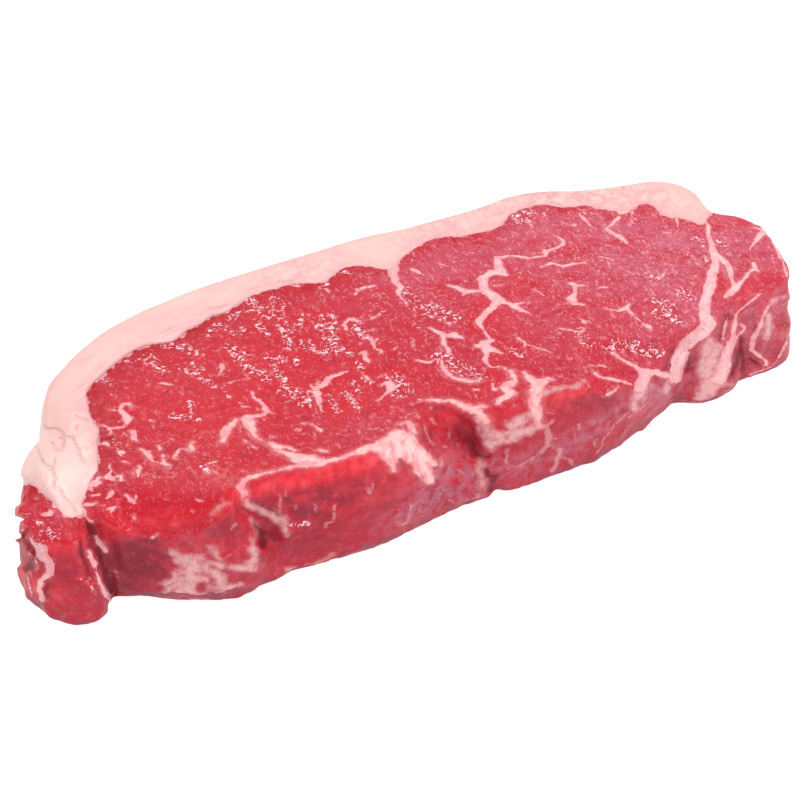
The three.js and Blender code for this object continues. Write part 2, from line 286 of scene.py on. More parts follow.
# veins of fat on the top cut
veins = drawn_on(left_cut, [
    [(150, 930, 0.5), (230, 940, 0.8)], [(230, 940, 0.9), (260, 895, 1.1), (310, 890, 0.9), (340, 915, 0.5)],
    [(245, 940, 1.1), (270, 980, 1.6), (290, 1010, 2.2), (280, 1045, 1)], [(285, 1005, 1.4),
    (322, 1002, 0.6)], [(60, 1065, 0.6), (110, 1060, 0.8), (150, 1080, 0.8), (190, 1075, 0.7),
    (270, 1065, 0.5)], [(150, 1080, 0.7), (165, 1110, 0.7), (150, 1135, 0.4)], [(300, 1110, 0.5),
    (335, 1105, 1.2), (340, 1120, 1.9), (345, 1160, 1.6), (372, 1182, 0.5)], [(475, 1022, 1),
    (500, 1032, 0.7)], [(390, 1240, 0.4), (440, 1265, 2), (460, 1300, 1.6), (480, 1340, 0.8),
    (530, 1350, 0.6), (570, 1355, 0.8), (612, 1372, 1.2), (620, 1395, 0.6)], [(440, 1265, 1.4),
    (482, 1262, 0.6)], [(570, 1288, 0.8), (575, 1350, 0.9)], [(538, 1215, 0.5), (552, 1252, 0.8)],
    [(708, 1245, 0.7), (690, 1270, 1.3), (668, 1302, 0.8)], [(712, 1250, 0.4), (735, 1240, 0.4),
    (790, 1272, 0.3)], [(832, 1190, 0.5), (808, 1200, 0.9), (800, 1255, 0.4)], [(155, 1368, 0.4),
    (155, 1430, 0.9), (140, 1468, 1.9), (180, 1492, 1)], [(150, 1460, 1.2), (212, 1465, 0.5)],
    [(242, 1440, 0.5), (245, 1492, 0.8)], [(370, 1368, 0.5), (392, 1400, 1.1), (375, 1462, 0.5)],
    [(25, 1540, 1.2), (80, 1505, 1)], [(1010, 605, 0.8), (1040, 588, 1.4), (1025, 660, 0.5)],
    [(538, 742, 0.7), (572, 735, 1.2), (680, 750, 0.4)], [(1270, 800, 0.5), (1290, 840, 1), (1330, 870, 1.2),
    (1360, 900, 1.2), (1385, 950, 1.6), (1370, 975, 1.5), (1290, 990, 1.4), (1230, 1000, 2.2),
    (1185, 1005, 0.8)], [(1230, 1010, 2.8), (1240, 1060, 2.2), (1280, 1110, 1.2), (1312, 1172, 0.4)],
    [(1385, 950, 1), (1450, 972, 0.4)], [(1132, 1010, 0.4), (1125, 1050, 1.1), (1070, 1080, 1.5),
    (1050, 1110, 1.8), (1050, 1160, 1.4), (1028, 1202, 0.5)], [(1030, 1058, 0.4), (1060, 1078, 0.9)],
    [(1170, 880, 0.4), (1202, 922, 0.6), (1240, 915, 0.4)], [(930, 1362, 0.5), (990, 1345, 1)],
    [(1030, 770, 0.3), (1060, 742, 0.4), (1160, 710, 0.3), (1250, 700, 0.3)], [(700, 800, 0.4),
    (730, 818, 0.8)], [(320, 910, 0.5), (350, 925, 0.3)], [(890, 500, 0.7), (880, 520, 0.5)],
    [(1300, 1240, 0.5), (1250, 1200, 0.5), (1200, 1170, 0.3)],
]) + drawn_on(middle_cut, [
    [(530, 1205, 2), (520, 1178, 1.6), (590, 1120, 1.8), (620, 1080, 1.4), (700, 1050, 1.4),
    (768, 1028, 0.7)], [(530, 1200, 1.8), (545, 1290, 1.3), (572, 1352, 0.5)], [(520, 1190, 1.3),
    (480, 1130, 0.4)], [(500, 1160, 0.7), (540, 1108, 0.4)], [(450, 1180, 0.5), (520, 1195, 0.8)],
    [(860, 880, 0.6), (902, 880, 1.6), (910, 920, 1.5), (942, 985, 0.4)], [(815, 890, 0.4), (862, 886, 0.8)],
    [(738, 665, 1.4), (770, 630, 1), (812, 614, 0.7), (868, 655, 0.4)], [(745, 660, 1.2), (762, 712, 0.5)],
    [(900, 740, 0.4), (950, 768, 0.9), (972, 798, 1.4), (1012, 768, 0.6)], [(970, 790, 1.2), (980, 850, 0.9),
    (1030, 868, 0.7), (1025, 892, 0.4)], [(820, 432, 0.5), (842, 390, 1), (920, 370, 1), (985, 355, 0.6)],
    [(925, 262, 0.8), (952, 260, 0.4)], [(1115, 200, 3.4), (1115, 270, 2.6), (1140, 330, 1.8),
    (1182, 370, 1.5), (1160, 410, 1.3), (1180, 450, 1), (1230, 480, 0.8), (1252, 545, 0.4)],
    [(1252, 225, 0.5), (1300, 240, 1.4), (1365, 278, 0.4)], [(1310, 688, 0.8), (1342, 692, 0.5)],
    [(1388, 680, 0.5), (1450, 710, 1.3), (1512, 742, 1.8), (1530, 820, 0.9), (1568, 880, 1)],
    [(1310, 940, 1), (1350, 958, 1.1), (1400, 970, 0.7), (1450, 940, 0.5), (1490, 930, 0.7),
    (1510, 980, 0.8), (1560, 1050, 0.5)], [(1030, 1145, 0.7), (1070, 1115, 1.6), (1105, 1130, 2.2),
    (1110, 1170, 2), (1060, 1210, 1.1), (998, 1262, 0.4)], [(945, 615, 1), (990, 600, 0.8),
    (1055, 548, 0.3)], [(1475, 188, 0.5), (1550, 202, 0.8)], [(355, 1480, 0.5), (392, 1490, 0.8)],
    [(480, 1440, 0.5), (560, 1492, 0.9)], [(620, 1520, 0.5), (690, 1520, 0.5)], [(310, 345, 0.8),
    (380, 358, 1)], [(595, 385, 0.8), (622, 410, 0.8)], [(1050, 1050, 0.4), (1100, 1100, 0.5)],
    [(770, 1210, 0.4), (830, 1290, 0.6)], [(905, 1070, 0.8), (935, 1100, 0.9)], [(1130, 860, 0.3),
    (1150, 830, 0.4)], [(420, 1440, 0.6), (440, 1435, 0.5)],
]) + drawn_on(right_cut, [
    [(1040, 350, 0.5), (1080, 368, 0.8), (1120, 390, 1.2), (1120, 430, 1), (1060, 460, 0.8), (990, 480, 1.2),
    (985, 520, 0.9), (850, 530, 0.9), (720, 515, 0.9), (650, 530, 1.2), (598, 530, 1.6)], [(1120, 388, 0.9),
    (1158, 390, 0.3)], [(928, 460, 0.4), (980, 472, 1), (952, 500, 0.5)], [(600, 530, 1.6), (620, 595, 2.6),
    (640, 650, 2.8), (692, 672, 0.8)], [(640, 645, 2.8), (560, 650, 2.6), (500, 690, 2.6), (448, 702, 1)],
    [(500, 690, 2.4), (500, 760, 2.4), (530, 800, 3)], [(530, 790, 2), (440, 790, 1.1), (360, 800, 1.6),
    (300, 770, 1.4), (212, 738, 0.5)], [(375, 800, 1), (328, 835, 0.4)], [(530, 800, 3), (600, 850, 3),
    (645, 875, 1.8)], [(645, 875, 0.8), (700, 890, 1.6), (740, 910, 2), (800, 950, 1.6), (872, 978, 0.4)],
    [(735, 890, 1), (832, 880, 0.4)], [(605, 870, 2.6), (560, 930, 2.2), (510, 980, 2.2), (460, 1040, 2)],
    [(460, 1040, 1.4), (500, 1090, 0.9), (540, 1160, 0.8), (550, 1180, 1.1)], [(550, 1180, 2),
    (500, 1200, 3), (445, 1225, 1.4)], [(500, 1200, 3), (530, 1250, 3), (580, 1250, 2), (645, 1285, 0.6)],
    [(530, 1260, 1.8), (510, 1340, 1.2), (560, 1385, 1), (640, 1385, 0.8), (700, 1410, 0.8), (740, 1460, 1),
    (745, 1500, 1.2), (720, 1530, 1.4)], [(58, 1073, 0.4), (120, 1100, 1.2), (180, 1140, 1.2),
    (190, 1220, 0.7), (242, 1288, 0.8)], [(222, 1140, 1.4), (270, 1135, 2.6), (335, 1158, 1)],
    [(0, 1345, 0.8), (60, 1360, 0.7), (130, 1328, 0.7)], [(150, 1325, 0.6), (190, 1410, 0.9), (260, 1470, 1),
    (370, 1500, 0.9), (492, 1490, 0.4)], [(943, 607, 0.5), (1030, 568, 1), (1120, 600, 0.9),
    (1200, 580, 0.9), (1305, 560, 0.6)], [(1270, 535, 0.4), (1300, 572, 0.6)], [(1188, 735, 1.6),
    (1230, 745, 1), (1332, 750, 0.3)], [(1208, 750, 1.4), (1210, 810, 1.2), (1180, 850, 2.4),
    (1215, 890, 1.8), (1285, 906, 0.5)], [(1245, 1005, 0.5), (1285, 1025, 1.3), (1300, 1045, 0.9)],
    [(1322, 1025, 0.5), (1290, 1035, 1)], [(1080, 1080, 0.4), (1170, 1100, 0.8), (1262, 1115, 1),
    (1300, 1080, 0.4)], [(1250, 1120, 0.7), (1262, 1192, 0.4)], [(740, 1130, 0.3), (780, 1170, 0.6),
    (830, 1205, 0.9), (1032, 1277, 0.4)], [(832, 1205, 0.8), (808, 1228, 0.5)], [(1350, 505, 0.3),
    (1420, 525, 0.7), (1522, 555, 0.5)], [(1465, 550, 0.5), (1487, 607, 0.3)], [(1238, 188, 0.5),
    (1290, 230, 1.2), (1352, 292, 0.6)], [(1100, 250, 0.4), (1212, 285, 0.7), (1225, 262, 0.3)],
    [(1550, 230, 1.2), (1470, 300, 0.8), (1500, 340, 1.2), (1568, 362, 1.4)], [(1450, 928, 0.6),
    (1568, 947, 0.9)], [(1390, 770, 0.4), (1470, 760, 0.6)], [(1310, 1380, 0.4), (1400, 1374, 0.7),
    (1492, 1400, 0.4)], [(1368, 1440, 0.5), (1420, 1470, 0.9), (1568, 1500, 1.2)], [(828, 1430, 0.7),
    (885, 1485, 2.2), (940, 1510, 3), (1000, 1480, 1.6), (1052, 1490, 0.5)], [(940, 1505, 2.8),
    (920, 1568, 2.8)], [(558, 745, 0.5), (642, 750, 0.4)], [(880, 768, 0.3), (972, 826, 0.6)],
    [(150, 573, 0.5), (222, 597, 0.8)], [(848, 240, 0.4), (882, 287, 0.6)], [(570, 1510, 0.5),
    (590, 1565, 0.9)], [(1370, 1430, 0.5), (1350, 1400, 0.3)], [(1180, 860, 0.6), (1130, 890, 0.4)],
    [(620, 1130, 0.3), (560, 1080, 0.3)], [(780, 350, 0.3), (950, 320, 0.3)],
]) + drawn_on(flap_end, [
    [(700, 668, 1), (735, 650, 1.9), (765, 612, 1), (800, 608, 0.4)], [(695, 690, 0.5), (735, 720, 0.6),
    (700, 640, 0.5)], [(862, 515, 0.4), (860, 575, 1), (845, 602, 2), (890, 620, 1.2), (920, 592, 0.4)],
    [(880, 700, 0.4), (875, 728, 1.5), (852, 758, 1.2), (820, 776, 0.4)], [(720, 752, 0.5), (765, 748, 1.2),
    (792, 735, 0.5)], [(690, 822, 1.4), (735, 820, 1.1), (772, 800, 0.4)], [(858, 850, 1), (890, 840, 1.2),
    (875, 882, 0.5)], [(982, 738, 0.4), (1010, 760, 1.1), (1040, 788, 1.8), (1070, 812, 0.8)],
    [(1082, 728, 0.4), (1075, 770, 0.7), (1058, 790, 1.2)], [(950, 600, 0.4), (962, 632, 0.7)],
    [(1130, 385, 0.7), (1152, 410, 2), (1170, 440, 1.5)], [(928, 398, 0.4), (965, 410, 0.7),
    (950, 390, 0.5)], [(955, 480, 0.5), (1005, 490, 0.5)], [(690, 930, 0.9), (722, 952, 1.2)],
    [(1040, 895, 0.4), (1050, 935, 0.8)], [(1012, 1010, 0.3), (990, 1032, 0.6)], [(1540, 778, 0.6),
    (1568, 792, 1)], [(720, 940, 0.8), (760, 930, 0.4)], [(800, 820, 0.4), (840, 815, 0.4)],
]) + drawn_on(middle_front, [
    [(1040, 80, 0.5), (1055, 155, 0.9)], [(890, 155, 1), (938, 155, 0.6)], [(785, 155, 0.8),
    (802, 158, 0.5)], [(1172, 0, 0.9), (1210, 40, 1), (1215, 85, 1.2), (1160, 105, 1.6), (1130, 140, 1.8),
    (1185, 185, 2.6), (1130, 222, 1.8), (1078, 242, 1.4), (1085, 272, 0.8)], [(555, 215, 0.4),
    (520, 240, 0.5), (455, 255, 0.6)], [(430, 225, 0.4), (500, 240, 0.5)], [(370, 345, 0.8),
    (390, 350, 0.6)], [(220, 395, 0.6), (240, 400, 0.5)], [(140, 460, 0.6), (155, 450, 0.5)],
    [(700, 235, 0.4), (760, 245, 0.4)],
]) + drawn_on(tail_end, [
    [(150, 290, 1.2), (80, 360, 0.8), (30, 400, 0.4)], [(60, 380, 0.8), (100, 420, 1.4), (160, 450, 1.6),
    (215, 502, 0.5)], [(250, 240, 0.9), (245, 310, 0.6), (267, 348, 0.3)], [(0, 600, 0.8), (60, 615, 0.9),
    (112, 637, 0.5)], [(60, 640, 0.5), (77, 692, 0.3)], [(0, 842, 0.5), (52, 835, 0.7)], [(38, 1000, 0.4),
    (130, 1020, 0.9), (200, 1010, 1.6), (242, 965, 0.4)], [(200, 1010, 1.2), (270, 1060, 0.6),
    (350, 1130, 0.8), (385, 1150, 1.8), (402, 1185, 0.5)], [(700, 570, 0.3), (760, 650, 0.4),
    (842, 722, 0.3)], [(640, 590, 0.4), (540, 670, 0.4), (490, 750, 0.4), (430, 782, 0.4)], [(600, 300, 0.8),
    (622, 402, 0.3)], [(500, 415, 0.8), (560, 415, 0.5)], [(680, 320, 0.7), (712, 330, 0.5)],
    [(95, 1355, 0.5), (200, 1430, 0.8), (300, 1470, 1), (420, 1500, 2), (500, 1530, 3)], [(470, 828, 0.5),
    (542, 820, 0.8)], [(330, 560, 0.3), (420, 610, 0.3)], [(620, 1100, 0.5), (650, 1080, 0.3)],
]) + [
    [(-85.5, -3, 0.5), (-83.6, -3.5, 1.6), (-83.8, -4.8, 0.8)],
]

# the broad seams of fat along the front rim of the cut
rim_fat = drawn_on(left_front, [
    [(470, 520, 1.6), (500, 480, 1.6), (550, 450, 1.4), (640, 430, 1), (760, 400, 1), (880, 370, 1.4),
    (960, 350, 2.4), (1100, 340, 2.8), (1150, 325, 1.6), (1240, 310, 1.6), (1300, 290, 1.4),
    (1400, 240, 1.8), (1500, 220, 3), (1568, 230, 4)], [(470, 520, 1.8), (500, 570, 1.4), (520, 640, 1),
    (540, 680, 0.7)], [(490, 0, 1), (540, 20, 2.6), (580, 100, 1.2), (610, 150, 0.6), (660, 165, 0.4)],
    [(700, 180, 0.8), (760, 210, 2.4), (850, 220, 1.2), (900, 240, 1)], [(760, 240, 1), (860, 270, 2),
    (950, 310, 4), (1040, 310, 4), (1130, 330, 2)], [(320, 180, 1), (350, 120, 1.8), (390, 50, 1.4),
    (420, 0, 1)], [(100, 170, 0.5), (95, 220, 0.9), (100, 240, 0.7)], [(1090, 235, 0.8), (1140, 250, 0.8)],
]) + drawn_on(middle_front, [
    [(195, 590, 4), (215, 690, 3)], [(300, 510, 4.5), (300, 660, 4)], [(370, 530, 4), (400, 700, 4)],
    [(440, 630, 4), (490, 790, 4)], [(505, 740, 3), (545, 870, 2.4)], [(0, 650, 2), (100, 610, 2.4),
    (200, 560, 3.2), (300, 510, 3.4), (370, 560, 4), (430, 620, 4.4), (500, 690, 4), (560, 740, 2.4),
    (600, 745, 0.8)], [(200, 600, 4), (240, 680, 3), (262, 750, 1.6), (262, 800, 0.6)], [(430, 680, 4),
    (470, 760, 3), (510, 830, 2), (525, 890, 0.8)], [(310, 430, 0.8), (370, 410, 1.4), (400, 440, 1.6),
    (430, 500, 1)], [(540, 235, 0.8), (620, 240, 1.4), (700, 235, 1.6), (780, 260, 2.4), (850, 300, 3),
    (920, 330, 2.6), (990, 400, 2)], [(900, 300, 2), (960, 285, 1.4), (1000, 290, 0.6)], [(1290, 20, 0.8),
    (1340, 70, 2), (1400, 110, 3), (1370, 180, 2.6), (1370, 260, 2.6), (1390, 350, 2.2), (1400, 420, 1.6)],
    [(1400, 100, 2.2), (1450, 90, 1.4), (1515, 85, 0.5)], [(1170, 0, 0.9), (1215, 60, 1), (1210, 95, 1.2),
    (1160, 105, 1.6), (1140, 140, 1.8), (1185, 185, 2.6), (1130, 220, 1.8), (1080, 250, 1.2),
    (1070, 270, 0.6)], [(660, 0, 0.5), (700, 45, 0.9), (780, 75, 1), (880, 95, 0.8), (960, 75, 0.4)],
])

# the seams of fat between the eye and the small muscles at the thin end
tail_fat = drawn_on(tail_end, [
    [(800, 250, 1), (830, 330, 1), (860, 440, 1.3), (880, 540, 2), (905, 640, 2.2), (880, 740, 2.6),
    (855, 850, 3), (820, 950, 2.7), (825, 1050, 3.3), (850, 1130, 4), (790, 1200, 4.8), (710, 1250, 4.6),
    (660, 1310, 4), (620, 1400, 3.8), (600, 1480, 3.6), (590, 1568, 3.2)], [(900, 570, 1.6), (960, 620, 1.8),
    (1010, 680, 2), (1030, 750, 1.4), (1050, 810, 1.4), (1060, 840, 2.4), (1010, 890, 2), (980, 920, 1)],
    [(1060, 840, 2), (1120, 790, 1.2), (1170, 720, 1), (1215, 690, 1.6), (1205, 650, 0.8)],
    [(1215, 690, 1.4), (1250, 730, 0.6)], [(1210, 375, 0.8), (1290, 400, 1.8), (1350, 470, 1.2),
    (1400, 560, 1), (1440, 660, 0.8), (1465, 760, 0.6)], [(1290, 390, 2), (1255, 430, 1.8), (1200, 500, 1),
    (1170, 555, 0.5)], [(1280, 880, 0.6), (1200, 940, 0.8), (1120, 1000, 0.9), (1070, 1050, 0.8),
    (1050, 1140, 1), (1045, 1220, 1.4), (1020, 1310, 2.4), (985, 1400, 3.2), (960, 1480, 3.6),
    (930, 1568, 4)], [(1060, 1010, 0.4), (1000, 1090, 0.6), (975, 1160, 0.6), (960, 1250, 0.5)],
    [(1370, 940, 0.5), (1310, 1020, 0.7), (1270, 1090, 1), (1240, 1170, 1.2), (1210, 1250, 1.4),
    (1190, 1330, 1.6), (1240, 1370, 1.4), (1290, 1420, 1.6), (1300, 1450, 0.8)], [(1090, 1130, 1),
    (1140, 1160, 1.4), (1100, 1200, 1), (1050, 1250, 0.6)], [(1470, 1260, 0.5), (1440, 1330, 0.7),
    (1380, 1420, 0.6), (1300, 1480, 0.5), (1180, 1530, 0.6)], [(90, 1360, 0.6), (180, 1420, 0.8),
    (260, 1460, 1), (380, 1490, 1.4), (500, 1530, 2)],
]) + drawn_on(tail_front, [
    [(560, 100, 0.6), (640, 150, 0.9), (740, 200, 1.2), (840, 260, 3), (900, 240, 2), (975, 275, 1.4)],
    [(840, 260, 3), (800, 330, 3.4), (770, 390, 2.4)], [(440, 250, 0.5), (460, 285, 1), (540, 300, 1.2),
    (640, 320, 1), (720, 350, 1)], [(390, 195, 0.5), (440, 200, 0.7), (500, 200, 1), (550, 215, 0.6)],
    [(520, 440, 1), (580, 400, 1), (620, 370, 0.6)],
])

# the seams of fat in the flap
flap_fat = drawn_on(flap_end, [
    [(150, 925, 0.5), (200, 905, 1.6), (235, 890, 1.2)], [(150, 1048, 0.4), (180, 1030, 1.2),
    (208, 1012, 0.8)], [(310, 900, 0.6), (350, 900, 1.8), (395, 905, 1.4), (385, 850, 0.5)],
    [(280, 765, 0.6), (290, 770, 0.6)], [(270, 1120, 0.8), (330, 1160, 2.6), (330, 1220, 3),
    (390, 1280, 2.2), (385, 1370, 2), (330, 1410, 1.6), (300, 1480, 1.4), (340, 1568, 1.6)],
    [(240, 1080, 0.4), (260, 1120, 0.8)], [(760, 1070, 1), (790, 1130, 1.6), (825, 1185, 0.9)],
    [(700, 1180, 0.8), (720, 1240, 1.4), (740, 1290, 1.6), (765, 1275, 0.6)], [(740, 1300, 0.4),
    (770, 1400, 0.8), (810, 1480, 1), (850, 1540, 1.4), (870, 1568, 1.4)], [(690, 1390, 0.3),
    (720, 1480, 0.7), (730, 1520, 0.3)], [(900, 1340, 0.3), (935, 1400, 0.4)], [(210, 1190, 0.3),
    (270, 1250, 0.5), (300, 1330, 0.5)], [(230, 1340, 0.3), (215, 1420, 0.5), (250, 1540, 0.5)],
    [(630, 1400, 0.6), (650, 1420, 0.6)], [(1190, 1080, 0.9), (1230, 1060, 0.5)],
])

# thin streaks of fat down the front edge
streaks = drawn_on(left_front, [
    [(440, 810, 0.5), (410, 860, 0.5), (430, 840, 0.5)], [(780, 590, 0.4), (785, 660, 0.5), (780, 730, 0.4)],
    [(825, 550, 0.3), (830, 600, 0.4)], [(910, 670, 0.4), (910, 700, 0.4)], [(1060, 660, 0.3),
    (1070, 720, 0.4)], [(1215, 660, 0.4), (1210, 730, 0.5), (1200, 790, 0.4)], [(1190, 800, 0.4),
    (1140, 810, 0.7), (1140, 840, 0.5)], [(1510, 490, 0.3), (1490, 550, 0.6), (1480, 575, 0.8),
    (1460, 530, 0.5)], [(340, 1100, 0.3), (400, 1050, 0.3)],
]) + drawn_on(middle_front, [
    [(1400, 420, 1), (1440, 440, 0.9), (1500, 420, 0.6), (1530, 380, 0.4)], [(1480, 450, 0.9),
    (1500, 520, 0.8), (1470, 590, 0.9), (1400, 660, 0.4), (1320, 710, 0.6), (1230, 760, 0.4)],
    [(1150, 620, 0.5), (1160, 660, 0.5), (1150, 730, 0.5)], [(1568, 620, 1.5), (1560, 660, 1.2),
    (1520, 760, 0.8), (1500, 790, 0.4)], [(700, 480, 0.5), (695, 530, 0.5)], [(655, 590, 0.7),
    (665, 600, 0.7)], [(760, 570, 0.4), (770, 590, 0.5)], [(750, 780, 0.5), (790, 800, 0.7),
    (800, 805, 0.5)], [(640, 700, 0.4), (650, 760, 0.4)], [(560, 380, 0.7), (590, 430, 0.5)],
    [(560, 290, 0.6), (555, 310, 0.4)], [(500, 420, 0.4), (540, 540, 0.4), (580, 590, 0.5)],
    [(370, 1180, 0.5), (385, 1110, 0.4), (400, 1060, 0.3)], [(300, 1220, 0.4), (370, 1190, 0.6),
    (430, 1200, 0.4)], [(700, 1020, 0.5), (760, 1060, 0.4), (860, 1010, 0.5), (930, 990, 0.4)],
    [(1130, 480, 0.4), (1160, 490, 0.5), (1180, 480, 0.3)], [(1070, 800, 0.3), (1100, 790, 0.3)],
]) + drawn_on(tail_front, [
    [(110, 620, 0.5), (70, 660, 1), (0, 680, 0.8)], [(60, 690, 0.6), (70, 770, 1.2), (50, 830, 0.6),
    (10, 890, 0.4)], [(70, 770, 0.8), (130, 770, 0.5)], [(65, 575, 0.8), (110, 575, 0.4)], [(140, 860, 0.4),
    (140, 920, 1), (110, 990, 0.6), (100, 1030, 0.5)], [(150, 920, 0.9), (200, 930, 0.8), (240, 940, 0.9),
    (250, 980, 0.6)], [(300, 660, 0.4), (300, 700, 0.8), (340, 690, 0.5)], [(450, 780, 0.5), (420, 800, 0.6),
    (425, 830, 0.4)], [(700, 560, 0.3), (600, 650, 0.4), (520, 760, 0.4), (440, 900, 0.3)], [(850, 490, 0.3),
    (760, 570, 0.4), (690, 620, 0.3)],
])

# thick soft fat and connective tissue on the outside of the slice
lump_fat = drawn_on(flap_end, [
    [(1350, 1190, 1.6), (1400, 1220, 1.6), (1440, 1280, 2), (1500, 1260, 2.4), (1568, 1240, 2.4)],
    [(1440, 1290, 1.6), (1480, 1330, 2), (1568, 1340, 1.6)], [(1300, 1440, 1.6), (1400, 1400, 2),
    (1480, 1400, 2.6), (1568, 1400, 3)], [(1290, 1520, 1.4), (1340, 1460, 2), (1420, 1440, 2)],
]) + drawn_on(left_front, [
    [(560, 670, 2), (640, 710, 2.6), (740, 750, 2.8), (800, 790, 2.4), (830, 860, 1.2), (840, 910, 0.5)],
    [(560, 780, 0.6), (600, 830, 1), (610, 880, 0.5), (570, 960, 0.4)], [(570, 1010, 1.8), (575, 1080, 2.6),
    (570, 1150, 2.8), (500, 1160, 1.6), (430, 1160, 1.2), (350, 1150, 2), (280, 1130, 2.4),
    (200, 1120, 2.4)], [(240, 990, 0.8), (270, 1040, 1.4), (300, 1080, 1), (350, 1130, 0.7)],
    [(0, 1100, 2.4), (80, 1080, 3.4), (120, 1120, 3.6), (60, 1200, 3.4), (0, 1200, 3)], [(60, 1200, 3.6),
    (100, 1260, 3.2), (40, 1330, 2), (0, 1340, 2)], [(200, 1150, 3), (260, 1200, 2.6), (320, 1240, 2),
    (330, 1320, 2.2), (240, 1310, 1.6)], [(0, 1310, 1.4), (150, 1370, 1.6), (300, 1360, 2), (400, 1310, 1.8),
    (480, 1290, 1)], [(860, 1170, 1.4), (950, 1170, 1), (1080, 1140, 1.2), (1140, 1100, 0.8),
    (1200, 1050, 0.5)], [(340, 655, 1), (300, 690, 1), (260, 730, 0.6)],
])

# a soft lump of fat at the middle of the front edge
side_fat = drawn_on(middle_front, [
    [(930, 380, 2.4), (980, 450, 3), (1020, 560, 3.4), (1040, 620, 2.4)], [(1040, 560, 4.4),
    (1150, 520, 4.6), (1280, 480, 4), (1400, 440, 2.6)], [(1180, 440, 3), (1280, 380, 3.6), (1350, 340, 3)],
    [(940, 700, 1.4), (935, 790, 1.3), (960, 860, 0.9), (940, 930, 0.8), (920, 1000, 0.5)],
])

# smears of fat on the outside of the thin end
tail_smear = drawn_on(tail_end, [
    [(1330, 1060, 1), (1320, 1130, 2), (1310, 1200, 2), (1300, 1250, 1)], [(860, 1250, 2), (850, 1350, 3),
    (830, 1450, 3.4), (820, 1540, 3)], [(1470, 910, 0.8), (1400, 930, 1.2), (1350, 960, 0.8)],
]) + drawn_on(tail_front, [
    [(1140, 60, 2), (1110, 130, 3), (1080, 210, 2.6), (1070, 280, 1.4), (1010, 350, 1.2), (980, 420, 1)],
    [(850, 350, 1.6), (790, 410, 2.4), (740, 470, 2.6), (750, 530, 1.6)], [(1400, 60, 2.6), (1360, 150, 4),
    (1340, 250, 4.6), (1330, 340, 5), (1300, 420, 4.4), (1250, 460, 2)], [(1400, 300, 4), (1430, 340, 3.4)],
    [(0, 420, 2), (60, 400, 2), (140, 385, 1.6), (250, 370, 1.2), (350, 320, 0.8)],
])

# creases between the lobes of fat at the left shoulder, and slits in the fat cap
cap_creases = drawn_on(flap_end, [
    [(340, 190, 0.5), (370, 225, 0.9), (430, 220, 1), (480, 245, 0.7), (500, 280, 0.7), (560, 290, 1),
    (580, 300, 0.5)], [(590, 240, 0.3), (600, 200, 0.5), (605, 185, 0.2)], [(570, 300, 0.6), (600, 360, 0.5),
    (640, 440, 0.5), (660, 490, 0.4)], [(480, 250, 0.4), (500, 320, 0.4), (490, 370, 0.3)], [(260, 330, 0.3),
    (300, 400, 0.4), (330, 490, 0.7), (350, 500, 0.5), (400, 540, 0.7), (430, 590, 0.5), (440, 620, 0.4)],
    [(430, 450, 0.3), (420, 520, 0.4), (430, 590, 0.5)], [(430, 590, 0.4), (420, 690, 0.6)],
    [(460, 670, 0.4), (520, 780, 0.5), (580, 840, 0.4), (600, 890, 0.4)], [(400, 330, 0.4), (420, 360, 0.4),
    (450, 400, 0.5), (480, 380, 0.4), (490, 320, 0.4), (460, 290, 0.4)], [(600, 120, 0.4), (650, 140, 0.5),
    (700, 160, 0.4)],
])
cap_slits = [
    [(-46.4, 32.8, 0.3), (-43.7, 32.9, 0.6), (-40.2, 33.5, 0.2)], [(-36.9, 35.1, 0.3), (-33.8, 35.2, 0.2)],
    [(-29.8, 36, 0.4), (-27.3, 35, 1), (-24.5, 35.1, 0.4)], [(-47.2, 30.8, 0.2), (-40.6, 31.6, 0.2)],
    [(-15.8, 38.1, 0.3), (-8.4, 37.4, 0.3), (-4.1, 36, 0.3)],
]
